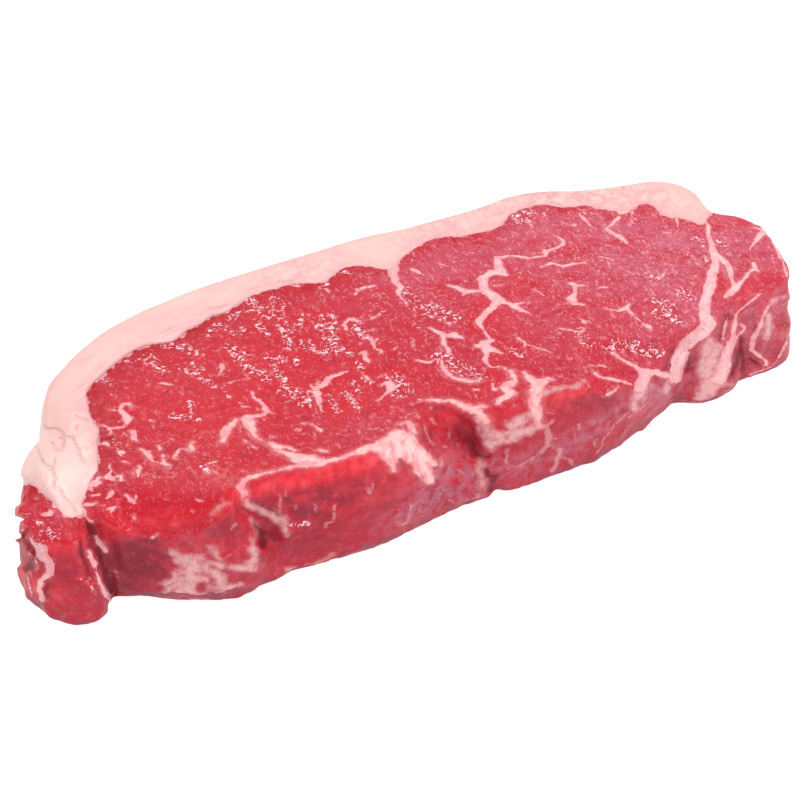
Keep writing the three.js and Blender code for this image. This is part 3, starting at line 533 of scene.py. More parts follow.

# folds where muscles lie on each other, grooved into the mesh and darkened with painted shade
shaded_folds = drawn_on(flap_end, [
    [(680, 950, 0.8), (720, 1010, 2), (740, 1080, 2.2), (760, 1150, 1.6), (790, 1240, 1.2), (800, 1300, 1),
    (830, 1380, 1.4), (860, 1460, 1.6), (880, 1530, 1.2)], [(690, 1060, 0.5), (700, 1150, 0.6),
    (700, 1200, 0.5)], [(630, 1100, 0.5), (640, 1200, 0.7), (680, 1300, 0.6), (700, 1400, 0.5)],
    [(200, 1100, 0.8), (230, 1160, 0.6)], [(280, 1150, 0.6), (260, 1230, 0.8), (240, 1310, 1),
    (220, 1330, 1)], [(370, 1550, 0.8), (350, 1500, 0.8), (370, 1440, 0.6)],
]) + drawn_on(left_front, [
    [(520, 630, 0.4), (640, 680, 0.6), (740, 720, 0.6), (770, 740, 0.4)], [(600, 830, 0.7), (640, 880, 1.6),
    (650, 950, 1.6), (650, 990, 1)], [(690, 880, 0.6), (740, 940, 0.6)],
]) + drawn_on(middle_front, [
    [(850, 530, 0.5), (880, 570, 0.9), (895, 620, 0.7), (915, 660, 0.8), (960, 685, 0.5), (1010, 675, 0.3)],
    [(985, 780, 0.8), (1010, 830, 1.8), (1050, 830, 1.8), (1030, 890, 1.4), (1015, 945, 1.2)],
]) + drawn_on(tail_end, [
    [(1100, 1190, 0.4), (1105, 1300, 0.8), (1130, 1400, 1), (1110, 1480, 0.8)], [(550, 1390, 0.5),
    (545, 1450, 0.6), (550, 1500, 0.5)], [(700, 1360, 0.6), (690, 1450, 0.8)], [(1440, 1110, 0.5),
    (1480, 1140, 0.5)], [(1000, 1060, 0.4), (980, 1120, 0.5), (940, 1250, 0.4)], [(1180, 1400, 0.8),
    (1240, 1440, 1)],
]) + drawn_on(tail_front, [
    [(1000, 240, 0.6), (1030, 150, 0.8), (1040, 80, 0.6)], [(1150, 240, 0.8), (1160, 130, 0.6),
    (1170, 90, 0.4)], [(1568, 60, 1.2), (1540, 200, 1), (1470, 300, 0.8)],
]) + [
    [(-85.2, -2, 0.5), (-83.8, -1.8, 0.5), (-81.7, -1.8, 0.2)],
]

# where the wet cut is open-grained: painted glints lie here, over a stronger bump
glint_patches = drawn_on(left_cut, [
    [(90, 680, 2), (170, 730, 2)], [(280, 560, 1.5), (450, 520, 1.5)], [(450, 520, 3), (580, 640, 3)],
    [(600, 430, 3), (700, 440, 3), (820, 490, 3)], [(690, 600, 2.2), (790, 640, 2.2), (870, 690, 2.2),
    (970, 750, 2.2)], [(820, 570, 2), (860, 620, 2)], [(920, 350, 2.5), (1000, 270, 2.5)], [(1050, 290, 2),
    (1130, 340, 2)], [(1100, 220, 2.5), (1220, 170, 2.5), (1380, 130, 2.5)], [(1300, 240, 2),
    (1380, 350, 2)], [(1440, 70, 2.5), (1500, 130, 2.5)], [(1450, 180, 2), (1480, 240, 2)], [(1320, 160, 2),
    (1390, 210, 2)], [(1170, 350, 1.5), (1210, 300, 1.5)], [(1100, 430, 3), (1170, 540, 3), (1220, 600, 3),
    (1290, 650, 3)], [(1190, 490, 2.5), (1260, 520, 2.5)], [(1370, 520, 2), (1480, 520, 2), (1520, 560, 2)],
    [(1370, 640, 2.5), (1380, 700, 2.5)], [(1450, 600, 2), (1500, 680, 2), (1560, 780, 2)], [(1510, 800, 3),
    (1568, 830, 3)], [(650, 990, 2.5), (830, 1010, 2.5)], [(780, 880, 1.5), (800, 950, 1.5)],
    [(1050, 790, 1.2), (1110, 850, 1.2)], [(190, 1180, 2), (260, 1280, 2)], [(870, 1370, 1.5),
    (920, 1430, 1.5)],
]) + drawn_on(middle_cut, [
    [(190, 450, 2.5), (230, 600, 2.5)], [(230, 640, 2.5), (260, 700, 2.5), (320, 840, 2.5)],
    [(290, 640, 1.5), (330, 760, 1.5)], [(380, 560, 2), (400, 600, 2), (370, 700, 2)], [(0, 470, 3),
    (130, 600, 3)], [(60, 650, 2), (120, 730, 2)], [(600, 600, 4), (640, 700, 4), (560, 680, 4)],
    [(620, 760, 4), (660, 840, 4), (640, 880, 4)], [(430, 800, 3), (470, 860, 3), (600, 890, 3)],
    [(120, 920, 2), (240, 950, 2)], [(90, 1050, 2), (120, 1080, 2)], [(150, 930, 2), (230, 1040, 2),
    (290, 1110, 2)], [(360, 920, 1.5), (370, 980, 1.5)], [(270, 1180, 4), (400, 1200, 4), (450, 1280, 4)],
    [(430, 1290, 3), (500, 1240, 3)], [(820, 620, 2), (870, 650, 2)], [(830, 680, 2.5), (900, 760, 2.5),
    (960, 800, 2.5)], [(740, 850, 2), (800, 900, 2)], [(900, 1080, 2.5), (940, 1110, 2.5)], [(850, 960, 2),
    (860, 1010, 2)], [(800, 1120, 2), (860, 1180, 2)], [(1110, 1080, 4), (1200, 1150, 4), (1170, 1220, 4)],
    [(1120, 1030, 1), (1300, 1200, 1)], [(1220, 390, 3), (1290, 480, 3), (1330, 540, 3)], [(1380, 540, 3.5),
    (1480, 570, 3.5)], [(600, 1210, 1.5), (700, 1350, 1.5)], [(760, 1200, 2), (860, 1340, 2)],
    [(680, 240, 2), (780, 250, 2)], [(600, 340, 2), (560, 370, 2)], [(1490, 930, 2), (1560, 1050, 2)],
]) + drawn_on(right_cut, [
    [(30, 920, 6), (250, 1000, 6)], [(740, 200, 4), (860, 190, 4), (800, 240, 4)], [(940, 180, 2),
    (960, 200, 2)], [(1250, 190, 2), (1330, 190, 2)], [(1360, 270, 1.5), (1400, 290, 1.5)], [(170, 1310, 5),
    (350, 1420, 5), (450, 1470, 5)], [(730, 1260, 3), (800, 1290, 3)], [(1250, 1100, 3), (1330, 1220, 3)],
    [(1480, 1240, 3), (1540, 1260, 3)],
]) + drawn_on(tail_end, [
    [(370, 760, 4), (440, 760, 4)], [(640, 880, 4), (700, 920, 4)], [(460, 950, 4), (560, 1000, 4)],
    [(440, 1040, 4), (600, 1100, 4)], [(60, 1320, 3), (110, 1310, 3)], [(180, 1280, 6), (420, 1340, 6)],
    [(760, 460, 3), (820, 500, 3)], [(900, 480, 3), (960, 500, 3)], [(790, 600, 2), (830, 660, 2)],
]) + [
    [(-64.7, -58.4, 2.4), (-62, -60.2, 2.4)], [(-115, -25, 3), (-113.8, -27.8, 3.5), (-113.1, -31.4, 3)],
    [(-118.6, -29, 2.5), (-116.4, -30.5, 3)],
]

# patches of the lean: vivid red on the cut, painted light on the bright rims and shoulders, painted shade in
# the hollows, and silverskin
vivid_and_lit_marks = [
    (-98, -37, 8, 4, -10, 0.8), (-88, -40, 9, 4, -8, 0.9), (-77, -41, 7, 4, 0, 0.8),
    (-69.5, -40, 2, 4, 10, 1.2), (-52, -44, 7, 3.5, 0, 1), (-42, -46, 8, 4, -5, 1), (-34, -47, 4, 4, 0, 0.8),
    (-7.5, -41, 4, 3, 20, 1), (2, -47, 6, 3, 10, 0.3), (26, -49, 10, 2.5, 8, 0.7), (-111, -37, 5, 6, 60, 0.4),
    (-114, -46, 4, 9, -15, 0.2), (-60, -5, 14, 22, 20, 0.6), (-35, 5, 16, 22, 10, 0.55),
    (-20, 20, 12, 12, 0, 0.3), (-62, -41.5, 6, 2.5, 12, 0.9), (-20, -20, 18, 12, 0, 0.4),
    (38, 0, 8, 12, 20, 0.3), (30, -12, 8, 8, 0, 0.4), (105, 0, 10, 6, -40, 0.7), (92, -34, 6, 4, 20, 0.8),
    (85, -28, 4, 8, 40, 0.5), (-80, -30, 20, 5, -5, 0.55), (-107, -12, 8, 5, 60, 0.3),
    (-114, -35, 7, 5, 0, 0.3), (-116, -19, 8, 9, 0, 0.9), (-128, -44, 4, 14, 15, 0.6),
]
# painted shade on the darker, hollow parts of the outside
painted_shade_marks = [
    (-102, -50, 8, 10, 10, 1.2), (-96, -46, 7, 5, 0, 0.7), (-62, -53, 8, 8, 0, 0.8),
    (-51, -54, 9, 6, 0, 0.9), (-79, -52, 6, 7, 0, 0.6), (-68, -66, 10, 5, 0, 0.4), (-38, -62, 9, 8, 0, 0.3),
    (-12, -49, 4, 5, 20, 0.8),
    (28, -56, 7, 5, 10, 0.6), (-110, -55, 4, 10, -15, 0.5), (-116, -60, 7, 7, 0, 0.4),
    (75, -62, 6, 8, 30, 0.4), (-123, -38, 3, 9, 20, 0.5), (-28.5, -66, 9, 2.2, 60, 0.6),
    (-111, -46, 6, 9, -10, 0.25),
]
silver_marks = [
    (-25, -66, 12, 7, 10, 0.9), (-40, -70, 10, 5, 5, 0.7), (-8, -68, 10, 5, 10, 0.6),
    (8, -68, 12, 4, 10, 0.8), (25, -64, 12, 4, 8, 0.8), (42, -60, 10, 5, 8, 1), (-23, -58, 6, 8, 0, 0.6),
    (-88, -52, 7, 6, 0, 0.4),
    (-92, -68, 14, 5, 0, 0.35), (60, -58, 10, 6, 10, 0.7), (84, -44, 6, 10, -40, 0.5),
    (98, -44, 6, 8, 0, 0.5), (-13, -56, 5, 6, 0, 0.5), (75, -55, 8, 8, 0, 0.4),
]

# where the fat cap blushes
blush_marks = [
    (-45, 36, 15, 5, 10, 0.3), (-2, 38, 16, 7, 0, 0.7), (50, 38, 18, 9, 0, 0.7), (80, 33, 14, 9, -30, 1),
    (98, 18, 12, 12, -40, 0.7), (-86, -5, 4, 8, 10, 0.5),
]

# where the cut is rosier and finer in grain, towards the thin end
rosy_marks = [
    (88, 0, 52, 60, 0, 1), (25, 20, 22, 12, 0, 0.3), (-110, -24, 7, 6, 0, 0.8), (-22, -31, 14, 8, 0, 0.25),
]

# bites and shallower hollows in the thin left edge of the flap
flap_bites = [[(-119.5, -19.9, 1.2), (-114.3, -19.8, 0.3)], [(-121.5, -26.4, 1.2), (-118.2, -24.7, 0.4)]]
flap_hollows = [[(-120.8, -21.5, 2.2), (-120.9, -24, 2.2)], [(-124.2, -29.5, 2), (-126.5, -35, 2)]]

# the neck where the flap leaves the fat
flap_neck = [[(-110, -6, 2), (-114.5, -13.5, 1.6)]]

# the soft fold between the two bulges at the middle of the front edge
soft_fold = [[(-24, -57, 1), (-28, -65, 1.5), (-32.5, -73, 1)]]

# ---- Relief --------------------------------------------------------------------------------
# The lean shrinks away from the firm fat, seams of fat stand a little proud, and the flesh
# folds at its seams. All of it is sculpted into the mesh along its normals.

# the line where the fat cap meets the lean, from left to right, in mm from above
fat_line = [
    (-124, 6), (-109.5, -1.5), (-107.1, -3.2), (-106.5, -8.5), (-106.9, -11.8), (-106.7, -14.6),
    (-107, -20.1), (-107.1, -23.3), (-105.9, -24.9), (-104.1, -24.7), (-102.6, -24.3), (-101.8, -23.6),
    (-101, -21.3), (-98.7, -18.9), (-96.8, -17.1), (-95.2, -15.3), (-92.8, -13.4), (-91.3, -12.3),
    (-89.1, -8.8), (-87.1, -5.4), (-85.2, -1.9), (-82, 2.7), (-81.2, 6.2), (-79.7, 11.3), (-77.4, 16.2),
    (-76, 19.4), (-73.3, 22), (-70.2, 24), (-65.4, 26.4), (-57.7, 29.7), (-52.1, 30.8), (-48.2, 29.5),
    (-44.5, 28.6), (-39.5, 30.8), (-34.9, 31.6), (-30.5, 33), (-26.2, 32.6), (-20.2, 34.5), (-15.8, 35.2),
    (-9.2, 34.9), (-4, 34), (-0.1, 31.9), (3.2, 31), (8.1, 33.3), (11.8, 34), (14.6, 32.9), (17, 30.9),
    (18.6, 27.9), (20.8, 26.2), (23.9, 27.6), (26.6, 29.6), (31.7, 31.6), (38.8, 33.2), (43.1, 31.8),
    (46.6, 30.2), (50.1, 29.4), (54.5, 28.6), (58.3, 29.3), (63.2, 32.2), (67.3, 32.8), (71.7, 32.3),
    (74.5, 30.6), (76.2, 28.2), (79.5, 25.8), (82.9, 24.4), (84.6, 22.1), (85.8, 20.2), (88, 18.6),
    (88, 16.2), (89.6, 15), (92, 15.9), (94.8, 16.8), (97.2, 16.8), (98.2, 14.2), (97.7, 11), (98.4, 7),
    (100.6, 5.2), (101.8, 2.6), (102.4, -0.8), (103.4, -1.8), (104.9, -0.5), (108.3, 1.5), (112, 2.4),
    (124, 6),
]


def curve_through(spots, steps):
    """A smooth line through the spots, with the given number of steps between each two."""
    spots = np.array(spots, float)
    before = np.vstack((spots[:1], spots, spots[-1:]))
    curve = []
    for a, b, c, d in zip(before, before[1:], before[2:], before[3:]):
        for t in np.arange(steps) / steps:
            curve.append(0.5 * (2 * b + (c - a) * t + (2 * a - 5 * b + 4 * c - d) * t**2
                                + (3 * b - a - 3 * c + d) * t**3))
    curve.append(spots[-1])
    return np.array(curve)


def beside_line(spots, curve):
    """Distance from the line in mm: positive in the lean, negative in the fat."""
    best = np.full(len(spots), 1e9)
    signed = np.zeros(len(spots))
    for a, b in zip(curve, curve[1:]):
        away = spots - a
        along = b - a
        part = np.clip(away @ along / (along @ along), 0, 1)
        offset = away - part[:, None] * along
        gap = (offset**2).sum(axis=1)
        nearer = gap < best
        best[nearer] = gap[nearer]
        turned = along[0] * away[nearer, 1] - along[1] * away[nearer, 0]
        signed[nearer] = np.where(turned > 0, -1, 1) * np.sqrt(gap[nearer])
    return signed


def swell(distance, height, spread):
    """A rounded ridge or, with a negative height, a groove along the strokes."""
    return height * np.exp(-(np.maximum(distance, 0) / spread) ** 2)


def stray(points, size, reach, shift=0, other_shift=9.5):
    """Smooth random steps to the side, of up to the given reach in mm, for each point."""
    return np.stack((hills(points, size, shift), hills(points, size, other_shift)), axis=1) * reach


points, normals = surface(flesh)
along_x, along_y, up_z = points.T
sheet = on_sheet(points)
faced = facing(points, normals)
drawn = smooth_step(faced, 0.02, 0.16) * smooth_step(normals[:, 2], -0.55, -0.3)
top = smooth_step(normals[:, 2], 0.55, 0.9)
under = smooth_step(-normals[:, 2], 0.55, 0.9)
side = 1 - top - under
boundary = curve_through(fat_line, 3)
beside = beside_line(points[:, :2], boundary)
is_lean = smooth_step(beside, -0.2, 0.2)

# ridges and grooves along the strokes: how high and how widely spread, in mm
ridges = (
    (veins, 0.12, 0.5), (rim_fat, 0.35, 0.8), (tail_fat, 0.5, 0.9), (flap_fat, 0.4, 0.8),
    (streaks, 0.2, 0.5), (lump_fat, 0.5, 1.2), (side_fat, 0.4, 1.2), (tail_smear, 0.6, 1.4),
    (cap_creases, -0.12, 0.6), (shaded_folds, -0.8, 0.8), (soft_fold, -0.8, 1.8),
)
spots = sheet + stray(points, size=2.2, reach=0.35)
relief = np.zeros(len(points))
for strokes, height, spread in ridges:
    relief += swell(stroke_distance(spots, strokes), height, spread) * drawn

# the uneven flesh: fine on the cuts, craggy down the sides, and roughest near the foot
crags = 0.4 * hills(points, 6, 5) + 0.22 * hills(points, 2.6, 7) + 0.12 * hills(points, 1.3, 8)
relief += top * is_lean * (0.06 * hills(points, 3.1) + 0.06 * hills(points, 1.4, 3))
relief += top * (1 - is_lean) * (0.14 * hills(points, 7) + 0.04 * hills(points, 1.8, 3))
relief += side * is_lean * crags
relief += side * is_lean * (1 - smooth_step(up_z, 4, 9)) * 0.4 * hills(points, 3.4, 21)
relief += side * (1 - is_lean) * (0.3 * hills(points, 9, 5) + 0.1 * hills(points, 2.6, 7))
relief += under * 0.1 * (hills(points, 3.1) - 1)

# the lean steps down from the fat cap along the left half of the cap
step_depth = 0.8
step_spread = 3.5
step_along = smooth_step(along_x, -92, -78) * (1 - smooth_step(along_x, -34, -14))
step_down = step_depth * step_along * is_lean * np.exp(-np.maximum(beside, 0) / step_spread) * top

# bites and hollows push the flap's left edge in, to the right as the drawing is seen
bite_depth = 2.2
hollow_depth = 1.2
edge_on = 1 - smooth_step(np.abs(faced), 0.45, 0.9)
edge_on *= (1 - smooth_step(along_x, -107, -99)) * (1 - smooth_step(along_y, -3, 6))
bite = swell(stroke_distance(sheet, flap_bites), bite_depth, 0.6)
bite += swell(stroke_distance(sheet, flap_hollows), hollow_depth, 1.2)
to_right = normals @ camera_right

# the thin end is slimmer than the knife's outline, with a waist half way up
slim_depth = 1.0
waist_depth = 1.1
waist_level = 15
slim = slim_depth * smooth_step(up_z, 3, 8) * (1 - smooth_step(up_z, 21, 26))
slim += waist_depth * np.exp(-((up_z - waist_level) / 3) ** 2)
slim *= smooth_step(to_right, 0.2, 0.7) * smooth_step(along_x, 92, 102)

# the left end draws in below the fat, and at the neck of the flap
neck_depth = 1.3
tuck_depth = 1.6
neck = swell(stroke_distance(sheet, flap_neck), neck_depth, 1.2) * (1 - smooth_step(along_x, -107, -97))
tuck = tuck_depth * smooth_step(-to_right, 0.2, 0.7) * (1 - smooth_step(up_z, 6, 20))
tuck *= smooth_step(along_y, -12, -6) * (1 - smooth_step(along_x, -106, -92))

push = np.maximum(bite * edge_on, neck) + tuck - slim
shaped = points + normals * relief[:, None] + push[:, None] * camera_right
shaped[:, 2] = np.maximum(shaped[:, 2] - step_down, 0)
flesh.data.vertices.foreach_set("co", (shaped * MM).astype(np.float32).ravel())
flesh.data.update()

# the face it lies on needs fewer faces
lying_below = 2.2 * MM
coarser = 0.45
select_only(flesh)
flesh.data.polygons.foreach_set("select", [
    face.center.z < lying_below and face.normal.z < -0.8 for face in flesh.data.polygons
])
bpy.ops.object.mode_set(mode="EDIT")
bpy.ops.mesh.select_mode(type="FACE")
bpy.ops.mesh.decimate(ratio=coarser)
bpy.ops.object.mode_set(mode="OBJECT")

# ---- Painting values -----------------------------------------------------------------------
# Each point of the flesh is told what it is made of, and where light and shade are painted on
# it, for the two finishes to read. Distances are in mm, and patches go from 0 to 1.

points, normals = surface(flesh)
sheet = on_sheet(points)
faced = facing(points, normals)
drawn = smooth_step(faced, 0.0, 0.1) * smooth_step(normals[:, 2], -0.55, -0.3)
under = smooth_step(-normals[:, 2], 0.45, 0.7)
wobble = stray(points, size=1.3, reach=0.25) + stray(points, size=4, reach=0.3)

# the veins run through the slice, so the lower cut shows them again, a little shifted
drift = stray(points, size=26, reach=4, shift=2, other_shift=12)
below = under > 0.5
spots = np.where(below[:, None], points[:, :2] + drift, sheet) + wobble
seen = np.maximum(drawn, under)
far_off = 6
unseen = (1 - seen) * far_off
undrawn = (1 - drawn) * far_off
# painted light: the rounded shoulder between the cut and the side is painted brighter red
shoulder = np.exp(-((normals[:, 2] - 0.6) / 0.22) ** 2)
soft_distance = np.where(below, far_off, stroke_distance(spots, lump_fat + side_fat + tail_smear))
# where a painted contact shadow goes: the flesh turning under near the floor
foot = smooth_step(normals[:, 2], -0.15, -0.45) * (1 - smooth_step(points[:, 2], 3, 6))

values = {
    "marbling": stroke_distance(spots, veins + tail_fat + flap_fat) + unseen,
    "rim_seam": stroke_distance(spots, rim_fat) + unseen,
    "streak": stroke_distance(spots, streaks) + undrawn,
    "rosy": np.clip(soft_marks(spots, rosy_marks), 0, 1),
    "soft_fat": soft_distance + unseen,
    "crease": stroke_distance(spots, cap_creases + cap_slits) + undrawn,
    "fold": stroke_distance(spots, shaded_folds) + undrawn,
    "glint": smooth_step(-stroke_distance(spots, glint_patches), -1.5, 0.6) * seen,
    "vivid_and_lit": np.clip(soft_marks(spots, vivid_and_lit_marks) + 0.45 * shoulder, 0, 1) * drawn,
    "painted_shade": np.clip(soft_marks(spots, painted_shade_marks), 0, 1) * drawn * (1 - under),
    "silver": np.clip(soft_marks(spots, silver_marks), 0, 1) * drawn * (1 - under),
    "cut": smooth_step(np.abs(normals[:, 2]), 0.5, 0.85),
    "beside": np.clip(beside_line(points[:, :2], boundary), -20, 20),
    "foot": foot * (1 - under),
    "blush": np.clip(soft_marks(points[:, :2], blush_marks), 0, 1),
    "back": smooth_step(-faced, -0.1, 0.1) * (1 - under),
}
for name, numbers in values.items():
    attribute = flesh.data.attributes.new(name, "FLOAT", "POINT")
    attribute.data.foreach_set("value", numbers.astype(np.float32))
place_on_sheet = np.column_stack((sheet, points[:, 2])) * MM
attribute = flesh.data.attributes.new("sheet", "FLOAT_VECTOR", "POINT")
attribute.data.foreach_set("vector", place_on_sheet.astype(np.float32).ravel())

# ---- Lean and fat apart --------------------------------------------------------------------
# The fat cap is a firm strip along the back of the loin. The two pieces meet at one wall that
# goes straight down through the slice, cut here along the line between them.

wall_top = 40
wall_foot = -8
wall_back = 62
wall_end = 130
smooth_below = math.radians(55)
outline = [tuple(spot) for spot in boundary]
outline += [(wall_end, 6), (wall_end, wall_back), (-wall_end, wall_back), (-wall_end, 6)]

cutter_mesh = bpy.data.meshes.new("fat_side")
cutter = bpy.data.objects.new("fat_side", cutter_mesh)
bpy.context.scene.collection.objects.link(cutter)
floor_plan = bmesh.new()
floor_plan.faces.new([floor_plan.verts.new(Vector((x, y, wall_foot)) * MM) for x, y in outline])
floor_plan.to_mesh(cutter_mesh)
floor_plan.free()
select_only(cutter)
bpy.ops.object.mode_set(mode="EDIT")
bpy.ops.mesh.select_all(action="SELECT")
bpy.ops.mesh.extrude_region_move(TRANSFORM_OT_translate={"value": (0, 0, (wall_top - wall_foot) * MM)})
bpy.ops.mesh.select_all(action="SELECT")
bpy.ops.mesh.normals_make_consistent(inside=False)
bpy.ops.object.mode_set(mode="OBJECT")

fat = flesh.copy()
fat.data = flesh.data.copy()
fat.name = "fat_strip"
bpy.context.scene.collection.objects.link(fat)
apply_modifier(fat, "BOOLEAN", object=cutter, operation="INTERSECT", solver="MANIFOLD")
lean = flesh
lean.name = "lean_loin"
apply_modifier(lean, "BOOLEAN", object=cutter, operation="DIFFERENCE", solver="MANIFOLD")
bpy.data.objects.remove(cutter)
for piece in (lean, fat):
    select_only(piece)
    bpy.ops.object.shade_smooth_by_angle(angle=smooth_below)

# ---- Lean meat -----------------------------------------------------------------------------
# Raw beef, cut across the grain: wet red muscle with fine pale flecks, veins of fat with torn
# soft edges, and on the outside a darker skin with smears of fat and silverskin.


class Finish:
    """A material's node tree, with short names for the nodes that are used again and again."""

    def __init__(self, name):
        self.material = bpy.data.materials.new(name)
        self.material.use_nodes = True
        self.tree = self.material.node_tree
        self.shader = self.tree.nodes["Principled BSDF"]
        self.place = self.add("ShaderNodeTexCoord").outputs["Object"]

    def add(self, kind, **settings):
        node = self.tree.nodes.new(kind)
        for setting, value in settings.items():
            setattr(node, setting, value)
        return node

    def put(self, socket, value):
        """Sets a socket, or links it when the value is another node's output."""
        if isinstance(value, bpy.types.NodeSocket):
            self.tree.links.new(value, socket)
        else:
            socket.default_value = value

    def value(self, name):
        return self.add("ShaderNodeAttribute", attribute_name=name).outputs["Fac"]

    def math(self, operation, a, b=0.0):
        node = self.add("ShaderNodeMath", operation=operation)
        self.put(node.inputs[0], a)
        self.put(node.inputs[1], b)
        return node.outputs[0]

    def plus(self, a, b):
        return self.math("ADD", a, b)

    def times(self, *parts):
        product = parts[0]
        for part in parts[1:]:
            product = self.math("MULTIPLY", product, part)
        return product

    def without(self, part):
        """What the part leaves of 1."""
        return self.math("SUBTRACT", 1.0, part)

    def sway(self, noise, amount):
        """The noise about its middle, times the amount."""
        return self.times(self.math("SUBTRACT", noise, 0.5), amount)

    def step(self, value, low, high):
        """0 at low and 1 at high, with a smooth rise between."""
        node = self.add("ShaderNodeMapRange", interpolation_type="SMOOTHSTEP")
        for socket, number in zip(node.inputs, (value, low, high, 0.0, 1.0)):
            self.put(socket, number)
        return node.outputs[0]

    def noise(self, size, detail=2.0, roughness=0.5, stretch=None, turn=0.0, shift=0.0, twist=0.0,
              where=None):
        """Noise with spots of the given size in mm, drawn out along X by stretch, turned, curled."""
        where = where or self.place
        if stretch or shift:
            turned = self.add("ShaderNodeMapping", vector_type="TEXTURE")
            self.put(turned.inputs["Vector"], where)
            turned.inputs["Location"].default_value = (shift, shift, 0)
            turned.inputs["Rotation"].default_value = (0, 0, math.radians(turn))
            turned.inputs["Scale"].default_value = (stretch or 1, 1, 1)
            where = turned.outputs[0]
        node = self.add("ShaderNodeTexNoise")
        self.put(node.inputs["Vector"], where)
        node.inputs["Scale"].default_value = 1 / (size * MM)
        node.inputs["Detail"].default_value = detail
        node.inputs["Roughness"].default_value = roughness
        node.inputs["Distortion"].default_value = twist
        return node.outputs["Fac"]

    def ridge(self, noise, width):
        """1 along the fine winding lines where the noise crosses its middle, 0 away from them."""
        return self.step(self.math("ABSOLUTE", self.math("SUBTRACT", noise, 0.5)), width, 0.0)

    def mix(self, part, a, b):
        """The color a where part is 0 and the color b where it is 1."""
        node = self.add("ShaderNodeMix", data_type="RGBA")
        for socket, value in ((node.inputs[0], part), (node.inputs[6], a), (node.inputs[7], b)):
            self.put(socket, (*value, 1) if isinstance(value, tuple) else value)
        return node.outputs[2]

    def paint(self, coat, *parts):
        """Lays a color over the color so far, as thick as the parts multiplied say."""
        self.color = self.mix(self.times(*parts), self.color, coat)

    def bump(self, height, depth, strength=1.0, below=None):
        node = self.add("ShaderNodeBump")
        self.put(node.inputs["Height"], height)
        self.put(node.inputs["Strength"], strength)
        node.inputs["Distance"].default_value = depth * MM
        if below:
            self.put(node.inputs["Normal"], below)
        return node.outputs[0]

    def finish(self, piece, height, roughness, numbers):
        """Joins color, relief and roughness to the shader, sets its numbers, and dresses the piece."""
        self.put(self.shader.inputs["Base Color"], self.color)
        self.put(self.shader.inputs["Normal"], height)
        self.put(self.shader.inputs["Roughness"], roughness)
        for name, number in numbers.items():
            self.shader.inputs[name].default_value = number
        piece.data.materials.clear()
        piece.data.materials.append(self.material)


rosy_red = (0.52, 0.016, 0.038)
fresh_red = (0.57, 0.010, 0.024)
deep_red = (0.32, 0.007, 0.016)
crimson = (0.45, 0.006, 0.013)
dusky_rose = (0.57, 0.11, 0.18)
outer_red = (0.45, 0.024, 0.044)
blotch_red = (0.60, 0.10, 0.14)
purple_red = (0.26, 0.025, 0.046)
tail_pink = (0.76, 0.17, 0.24)
lit_rim_red = (0.86, 0.045, 0.065)
rim_highlight_pink = (0.84, 0.14, 0.17)
wet_red = (0.68, 0.014, 0.032)
pale_red = (0.80, 0.26, 0.30)
fleck_pink = (0.88, 0.42, 0.45)
painted_glint_white = (0.90, 0.61, 0.69)
vein_fat = (0.86, 0.51, 0.53)
vein_pink = (0.82, 0.31, 0.35)
vein_cream = (0.90, 0.64, 0.62)
vein_grey = (0.68, 0.38, 0.48)
seam_pink = (0.84, 0.31, 0.34)
seam_cream = (0.88, 0.49, 0.48)
smear_fat = (0.77, 0.42, 0.42)
smear_pink = (0.60, 0.20, 0.24)
smear_rose = (0.87, 0.44, 0.54)
silver_skin = (0.50, 0.18, 0.26)
painted_fold_shade = (0.17, 0.010, 0.020)
foot_shade = (0.15, 0.05, 0.09)

meat = Finish("raw_lean_beef")
cut, vivid_and_lit, painted_shade, silver, glint, rosy, back, foot = map(
    meat.value, ("cut", "vivid_and_lit", "painted_shade", "silver", "glint", "rosy", "back", "foot"))
beside, marbling, rim_seam, soft_fat, streak, fold = map(
    meat.value, ("beside", "marbling", "rim_seam", "soft_fat", "streak", "fold"))
drawn_place = meat.add("ShaderNodeAttribute", attribute_name="sheet").outputs["Vector"]
outer = meat.without(cut)
not_rosy = meat.without(meat.times(rosy, 0.9))

# the cut: red muscle, mottled, with darker and paler grains
broad = meat.noise(14, 3, 0.55)
patchy = meat.noise(3.2, 3, 0.6, shift=0.3)
fine = meat.noise(0.8, 2, 0.6, shift=0.7)
redness = meat.plus(meat.times(vivid_and_lit, 0.75), meat.step(broad, 0.35, 0.75))
meat.color = meat.mix(meat.math("MINIMUM", redness, 1.0), rosy_red, fresh_red)
meat.paint(dusky_rose, rosy, meat.step(broad, 0.75, 0.35), 0.9)
# brighter red: the cut's own vivid patches, and painted light on the rims and shoulders
meat.paint(wet_red, vivid_and_lit, 0.5)
meat.paint(deep_red, meat.step(patchy, 0.48, 0.72), 0.4)
near_fat = meat.times(meat.step(beside, 8.0, 0.5), meat.step(meat.noise(5, 2, shift=0.2), 0.30, 0.50))
near_fat = meat.times(near_fat, not_rosy, meat.without(meat.times(vivid_and_lit, 0.5)))
meat.paint(crimson, near_fat, 0.85)
grain = meat.noise(1.2, 2, 0.6, shift=0.1, twist=0.9)
grain_places = meat.step(meat.noise(4.5, 2, 0.5, shift=0.55), 0.35, 0.60)
grain_lines = meat.times(meat.ridge(grain, 0.055), meat.plus(meat.times(rosy, 0.55), 0.12))
meat.paint(pale_red, grain_lines, grain_places)
meat.paint(deep_red, meat.step(fine, 0.60, 0.74), 0.5)

